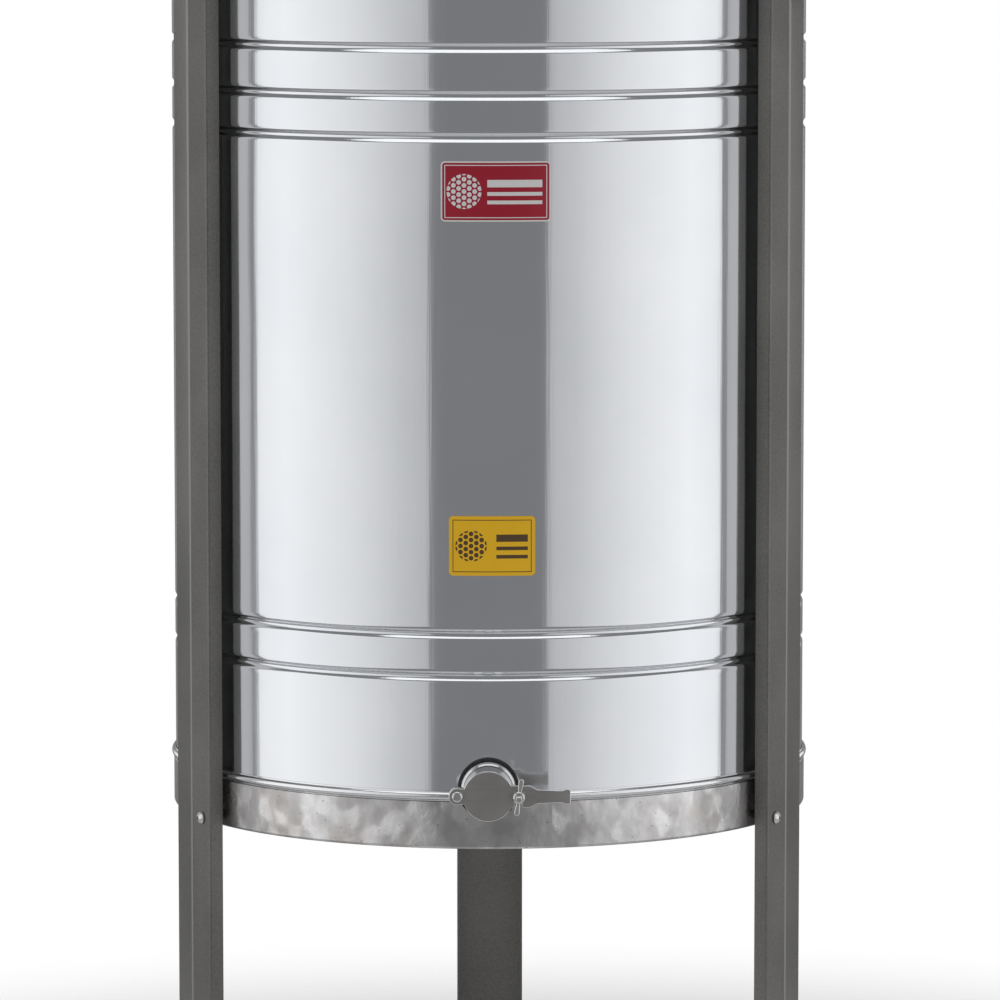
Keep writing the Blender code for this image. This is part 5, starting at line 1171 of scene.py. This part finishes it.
finished(softened("small_bevel", "reel_pinion", 0.00018, 26), gear_iron, "reel", "gear_iron", "reel_pinion",
         smooth=24)


# The gears' guard: an arched cover folded and spot-welded from thin sheet, open underneath, with
# an opening for the crank's shaft. It stands on the crossbar.
guard_low, guard_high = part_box("gear_guard")
guard_half = (guard_high.y - guard_low.y) / 2
guard_sheet = 0.0015
crank_z = guard_high.z - guard_half
to_right = Matrix.Rotation(pi / 2, 4, "Z") @ Matrix.Rotation(pi / 2, 4, "X")
guard_middle = (guard_low.x + guard_high.x) / 2


def arch(half, bottom):
    """Straight sides under a half circle, as (y, z)."""
    return arc((0, crank_z), half, 0, 180, 48) + [(-half, bottom), (half, bottom)]


guard = flat_piece("arched_guard", [arch(guard_half, guard_low.z)], guard_high.x - guard_low.x, 0.0012,
                   Matrix.Translation((guard_middle, axis_y, 0)) @ to_right)
room = flat_piece("room", [arch(guard_half - guard_sheet, guard_low.z - 0.03)],
                  guard_high.x - guard_low.x - 2 * guard_sheet, 0.0004,
                  Matrix.Translation((guard_middle, axis_y, 0)) @ to_right)
cut_by(guard, room)
cut_by(guard, round_bar("hole", 0.0105, (axis_x, axis_y, crank_z), (axis_x + 0.08, axis_y, crank_z), 40))
finished(guard, brushed_sheet, "frame", "sheet_steel", "gear_guard", smooth=28)


# The crank's two bearing stands: castings in dark hammered paint, bored for the shaft, with an oil
# hole on top, and screwed down to the crossbar.
hammered, tree, shader = new_finish("hammered_paint", 0.25)
place = linked(tree, "ShaderNodeTexCoord").outputs["Object"]
hammer = linked(tree, "ShaderNodeTexVoronoi", feature="SMOOTH_F1", Vector=place, Scale=420.0, Smoothness=0.8)
chips = linked(tree, "ShaderNodeTexNoise", Vector=place, Scale=95.0, Detail=5.0, Roughness=0.7)
chipped = linked(tree, "ShaderNodeMapRange", Value=chips.outputs["Fac"], From_Min=0.66, From_Max=0.72)
deep = toned(tree, hammer.outputs["Distance"], (0.05, 0.056, 0.062), (0.11, 0.12, 0.13))
tree.links.new(toned(tree, chipped.outputs["Result"], deep, (0.26, 0.26, 0.255)), shader.inputs["Base Color"])
glossed(tree, shader, chips.outputs["Fac"], 0.22, 0.42)
bumped(tree, shader, hammer.outputs["Distance"], 0.45, 0.0010)
shader.inputs["Coat Weight"].default_value = 0.3
for place_name in ("inner", "outer"):
    low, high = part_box("crank_bearing_" + place_name)
    middle_x = (low.x + high.x) / 2
    hub_half = 0.011
    base = block("stand_" + place_name, (middle_x - 0.018, axis_y - 0.035, low.z),
                 (middle_x + 0.018, axis_y + 0.035, low.z + 0.005))
    post = block("post", (middle_x - 0.006, axis_y - 0.014, low.z + 0.001),
                 (middle_x + 0.006, axis_y + 0.014, crank_z))
    rib = block("rib", (middle_x - 0.016, axis_y - 0.004, low.z + 0.001),
                (middle_x + 0.016, axis_y + 0.004, low.z + 0.030))
    hub = round_bar("hub", 0.018, (middle_x - hub_half, axis_y, crank_z),
                    (middle_x + hub_half, axis_y, crank_z), 56)
    joined_to(base, post, rib, hub)
    cut_by(base, round_bar("bore", journal_bore, (middle_x - 0.05, axis_y, crank_z),
                           (middle_x + 0.05, axis_y, crank_z), 40))
    cut_by(base, round_bar("oil_hole", 0.0016, (middle_x, axis_y, crank_z + 0.012),
                           (middle_x, axis_y, crank_z + 0.03), 16))
    applied(base, "BEVEL", width=0.0009, segments=2, limit_method="ANGLE", angle_limit=radians(40))
    finished(base, hammered, "frame", "bearing_paint", "crank_bearing_" + place_name, smooth=30)
    for side in (-1, 1):
        screw_r = 0.0045
        head = [(0.0004, low.z + 0.0078), (screw_r * 0.6, low.z + 0.0075), (screw_r * 0.95, low.z + 0.0064),
                (screw_r, low.z + 0.0056), (screw_r, low.z + 0.0047)]
        screw = turned("stand_screw_" + place_name + ("_front" if side < 0 else "_back"), head, 28,
                       (middle_x, axis_y + side * 0.026, 0))
        cut_by(screw, round_bar("socket", 0.0016, (middle_x, axis_y + side * 0.026, low.z + 0.0062),
                                (middle_x, axis_y + side * 0.026, low.z + 0.01), 6))
        finished(screw, plated, "frame", "fasteners")


# The crank: a ground shaft, and a flat arm welded to a boss on its end, with a riveted pin for the
# grip. The steel is brushed and a little greasy near the bearings.
shaft_low, shaft_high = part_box("crank_shaft")
journal_r = 0.008
crank_steel = sheet_metal("crank_steel", (0.46, 0.46, 0.455), (0.66, 0.66, 0.65), 0.16, 0.36,
                          Wave=0.05, Wave_Scale=30.0, Grain=0.10, Grain_Scale=1200.0, Grain_Stretch=1.0)
start = shaft_low.x - axis_x
end = shaft_high.x - axis_x
shaft_skin = [(0.0025, start + 0.0006), (0.0030, start), (journal_r - 0.001, start),
              (journal_r, start + 0.001),
              (journal_r, end - 0.001), (journal_r - 0.001, end), (0.0030, end), (0.0025, end - 0.0006)]
crank_rod = turned("crank_rod", shaft_skin, 48, (axis_x, axis_y, crank_z), (0, pi / 2, 0))
finished(crank_rod, crank_steel, "crank", "crank_steel", "crank_shaft")

boss_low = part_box("crank_arm")[0].x - axis_x
boss_end = boss_low + 0.016
boss_r = 0.016
arm_half = 0.011
crank_length = 0.150
arm_loop = arc((0, crank_z), arm_half + 0.0013, 0, 180, 20)
arm_loop += arc((0, crank_z - crank_length), arm_half, 180, 360, 20)
arm = flat_piece("crank_lever", [arm_loop, arc((0, crank_z), 0.0098, 0, 345, 23)], 0.008, 0.0012,
                 Matrix.Translation((axis_x + boss_low + 0.008, axis_y, 0)) @ to_right)
boss_skin = [(journal_bore, boss_low), (boss_r - 0.001, boss_low), (boss_r, boss_low + 0.001),
             (boss_r, boss_end - 0.001), (boss_r - 0.001, boss_end), (journal_bore, boss_end),
             (journal_bore, boss_low)]
boss = turned("boss", boss_skin, 44, (axis_x, axis_y, crank_z), (0, pi / 2, 0))
pin_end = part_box("crank_arm")[1].x - axis_x
rivet = [(0.005, boss_low + 0.006), (0.005, pin_end - 0.003), (0.0076, pin_end - 0.003),
         (0.008, pin_end - 0.0024)]
rivet += arc((0.0052, pin_end - 0.0026), 0.0026, 15, 84, 5) + [(0.0010, pin_end)]
grip_pin = turned("pin", rivet, 40, (axis_x, axis_y, crank_z - crank_length), (0, pi / 2, 0))
joined_to(arm, boss, grip_pin)
cut_by(arm, round_bar("screw_hole", 0.0024, (axis_x + boss_low + 0.013, axis_y, crank_z + 0.0135),
                      (axis_x + boss_low + 0.013, axis_y, crank_z + 0.03), 20))
finished(arm, crank_steel, "crank", "crank_steel", "crank_arm", smooth=32)


# The grip: a turned wooden handle, waxed, that spins freely on the crank's pin. Its grain runs
# along it and the middle is darkened by hands.
grip_low, grip_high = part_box("crank_grip")
grip_z = crank_z - crank_length
grip_start = grip_low.x - axis_x
grip_end = grip_high.x - axis_x
length = grip_end - grip_start
grip_r = 0.015
belly = smooth_run((grip_start + 0.002, 0.0111), (grip_end - length * 0.62, grip_r), 10)
belly += smooth_run((grip_end - length * 0.58, grip_r), (grip_end - length * 0.33, 0.0140), 6)
belly += smooth_run((grip_end - length * 0.30, 0.0140), (grip_end - 0.008, grip_r - 0.0002), 6)
grip_skin = [(0.0053, grip_start), (0.0102, grip_start), (0.0108, grip_start + 0.0008)]
grip_skin += [(radius, height) for height, radius in belly]
grip_skin += arc((0.0100, grip_end - 0.0050), 0.0050, 10, 88, 8)
grip_skin += [(0.0060, grip_end), (0.0053, grip_end - 0.0006), (0.0053, grip_start)]
grip = turned("turned_grip", grip_skin, 56, (axis_x, axis_y, grip_z), (0, pi / 2, 0))
waxed_wood, tree, shader = new_finish("waxed_wood")
place = linked(tree, "ShaderNodeTexCoord").outputs["Object"]
log = linked(tree, "ShaderNodeMapping", Vector=place)
log.inputs["Location"].default_value = (0.0, -axis_y + 0.011, -grip_z + 0.006)
log.inputs["Scale"].default_value = (0.12, 1.0, 1.0)
rings = linked(tree, "ShaderNodeTexWave", wave_type="RINGS", rings_direction="X",
               Vector=log.outputs["Vector"], Scale=120.0, Distortion=3.0, Detail=3.0)
rings.inputs["Detail Scale"].default_value = 1.5
fibre_place = linked(tree, "ShaderNodeMapping", Vector=place)
fibre_place.inputs["Scale"].default_value = (25.0, 600.0, 600.0)
fibre = linked(tree, "ShaderNodeTexNoise", Vector=fibre_place.outputs["Vector"], Scale=1.0, Detail=3.0)
wood = toned(tree, rings.outputs["Fac"], (0.20, 0.085, 0.030), (0.36, 0.175, 0.070))
wood = toned(tree, sums(tree, "MULTIPLY", fibre.outputs["Fac"], 0.6), wood, (0.13, 0.055, 0.020))
tree.links.new(wood, shader.inputs["Base Color"])
glossed(tree, shader, fibre.outputs["Fac"], 0.28, 0.52)
bumped(tree, shader, fibre.outputs["Fac"], 0.2, 0.0004)
shader.inputs["Coat Weight"].default_value = 0.2
finished(grip, waxed_wood, "grip", "grip_wood", "crank_grip", smooth=45)


# The reel: a stainless shaft with two welded spiders, four corner posts and four welded-wire
# screens that the combs lean on. Honey and washing have left it slightly streaked.
reel_steel = sheet_metal("reel_steel", (0.52, 0.53, 0.54), (0.72, 0.725, 0.73), 0.14, 0.32,
                         Wave=0.04, Wave_Scale=12.0, Grain=0.10, Grain_Scale=900.0, Grain_Stretch=0.3)
reel_low, reel_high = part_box("reel_shaft")
shaft_r = 0.0125
shoulder = bush_bottom - gap
spindle_skin = [(0.0020, reel_low.z), (shaft_r - 0.004, reel_low.z), (shaft_r, reel_low.z + 0.004),
                (shaft_r, shoulder - 0.0006), (shaft_r - 0.0006, shoulder), (journal_r, shoulder),
                (journal_r, reel_high.z - 0.0008), (journal_r - 0.0008, reel_high.z), (0.0020, reel_high.z)]
spindle = turned("reel_spindle", spindle_skin, 48, drum_middle)
finished(spindle, reel_steel, "reel", "reel_steel", "reel_shaft")

post_low, post_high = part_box("corner_post_1")
reel_half = (post_low.x + post_high.x) / 2 - axis_x
post_r = (post_high.x - post_low.x) / 2
spider_bar = 0.010
for node, rail, hub_up in (("top_spider", 0.010, False), ("bottom_spider", 0.062, True)):
    low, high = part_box(node)
    bottom = high.z - 0.008 if not hub_up else low.z
    top = bottom + 0.008
    outer = reel_half + spider_bar / 2
    inner = outer - rail
    ring = flat_piece(node.replace("spider", "star"),
                      [rounded_outline((0, 0), 2 * outer, 2 * outer, 0.003),
                       rounded_outline((0, 0), 2 * inner, 2 * inner, 0.002)[::-1]], 0.008, 0.0007,
                      Matrix.Translation((0, 0, (bottom + top) / 2)))
    arms = []
    reach = (reel_half - spider_bar * 0.2) * sqrt(2)
    for turn in (45, 135):
        arm_box = block("arm", (-reach, -spider_bar / 2, bottom + 0.0008),
                        (reach, spider_bar / 2, top - 0.0008))
        applied(arm_box, "BEVEL", width=0.0008, segments=2, limit_method="ANGLE")
        arms.append(placed(arm_box, Matrix.Rotation(radians(turn), 4, "Z")))
    hub_skin = [(0.0214, low.z), (0.022, low.z + 0.0006), (0.022, high.z - 0.0006), (0.0214, high.z)]
    joined_to(ring, *arms, turned("hub", hub_skin, 48))
    cut_by(ring, round_bar("bore", shaft_r + gap, (0, 0, low.z - 0.01), (0, 0, high.z + 0.01), 48))
    placed(ring, Matrix.Translation(drum_middle))
    finished(ring, reel_steel, "reel", "reel_steel", node, smooth=28)

wire_r = 0.0007
mesh_pitch = 0.0105
frame_wire = 0.0015
for number in range(4):
    node = "corner_post_" + str(number + 1)
    low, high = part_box(node)
    post_skin = [(post_r - 0.0006, low.z), (post_r, low.z + 0.0006), (post_r, high.z - 0.0006),
                 (post_r - 0.0006, high.z)]
    post_middle = ((low.x + high.x) / 2, (low.y + high.y) / 2, 0)
    post = turned("reel_post_" + str(number + 1), post_skin, 28, post_middle)
    finished(post, reel_steel, "reel", "reel_steel", node)

screen_low, screen_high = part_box("screen_1")
screen_half = max(screen_high.x - screen_low.x, screen_high.y - screen_low.y) / 2
screen_bottom, screen_top = screen_low.z, screen_high.z


def wire_grid(name):
    """One screen on the reel's front: an edge wire all round with thin upright and level wires."""
    bars = []
    level_count = round((screen_top - screen_bottom) / mesh_pitch)
    upright_count = round(2 * screen_half / mesh_pitch)
    for step in range(1, upright_count):
        across = -screen_half + 2 * screen_half * step / upright_count
        bars.append(round_bar("wire", wire_r, (across, -reel_half + wire_r * 0.9, screen_bottom + frame_wire),
                              (across, -reel_half + wire_r * 0.9, screen_top - frame_wire), 6))
    for step in range(1, level_count):
        up = screen_bottom + (screen_top - screen_bottom) * step / level_count
        bars.append(round_bar("wire", wire_r, (-screen_half + frame_wire, -reel_half - wire_r * 0.9, up),
                              (screen_half - frame_wire, -reel_half - wire_r * 0.9, up), 6))
    outer_rim = rounded_outline((0, (screen_bottom + screen_top) / 2), 2 * screen_half,
                                screen_top - screen_bottom, 0.004)
    inner_rim = rounded_outline((0, (screen_bottom + screen_top) / 2), 2 * (screen_half - 0.003),
                                screen_top - screen_bottom - 0.006, 0.002)[::-1]
    bars.append(flat_piece(name, [outer_rim, inner_rim], 0.003, 0.0012,
                           Matrix.Translation((0, -reel_half, 0)) @ lie_out))
    picked(*bars)
    bpy.ops.object.join()
    return bpy.context.object


grid = wire_grid("wire_screen_1")
for number in range(4):
    screen = grid
    if number:
        screen = bpy.data.objects.new("wire_screen_" + str(number + 1), grid.data.copy())
        bpy.context.scene.collection.objects.link(screen)
    placed(screen, around(90 * number) if not number else
           around(90 * number) @ around(0).inverted())
    finished(screen, reel_steel, "reel", "reel_steel", "screen_" + str(number + 1))

collar_low, collar_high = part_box("shaft_collar")
collar_r = (collar_high.x - collar_low.x) / 2
collar_skin = [(shaft_r + gap, collar_low.z), (collar_r - 0.0008, collar_low.z),
               (collar_r, collar_low.z + 0.0008), (collar_r, collar_high.z - 0.0008),
               (collar_r - 0.0008, collar_high.z),
               (shaft_r + gap, collar_high.z), (shaft_r + gap, collar_low.z)]
collar = turned("stop_collar", collar_skin, 48, drum_middle)
collar_z = (collar_low.z + collar_high.z) / 2
cut_by(collar, round_bar("screw_hole", 0.0024, (axis_x, axis_y - 0.0165, collar_z),
                         (axis_x, axis_y - 0.03, collar_z), 20))
finished(collar, crank_steel, "reel", "reel_steel", "shaft_collar")


# The footstep bearing on the drum's floor: a white nylon cup that the reel's shaft stands in,
# stained a little by honey.
step_low, step_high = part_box("footstep_bearing")
pocket = step_high.z - 0.018
step_in = shaft_r + gap
step_skin = [(0.0004, pocket), (step_in - 0.004, pocket), (step_in, pocket + 0.004),
             (step_in, step_high.z - 0.0008), (step_in + 0.0008, step_high.z), (0.0212, step_high.z),
             (0.022, step_high.z - 0.0008),
             (0.0222, step_low.z + 0.012), (0.026, step_low.z + 0.0008), (0.0252, step_low.z),
             (0.0004, step_low.z)]
footstep = turned("nylon_footstep", step_skin, 64, drum_middle)
nylon, tree, shader = new_finish("stained_nylon")
place = linked(tree, "ShaderNodeTexCoord").outputs["Object"]
honeyed = linked(tree, "ShaderNodeTexNoise", Vector=place, Scale=65.0, Detail=5.0)
tree.links.new(toned(tree, honeyed.outputs["Fac"], (0.78, 0.77, 0.73), (0.66, 0.58, 0.42)),
               shader.inputs["Base Color"])
glossed(tree, shader, honeyed.outputs["Fac"], 0.38, 0.58)
turned_marks = linked(tree, "ShaderNodeTexNoise", Vector=place, Scale=900.0, Detail=1.0)
bumped(tree, shader, turned_marks.outputs["Fac"], 0.1, 0.0003)
shader.inputs["Subsurface Weight"].default_value = 0.1
finished(footstep, nylon, "frame", "bearing_nylon", "footstep_bearing", smooth=40)
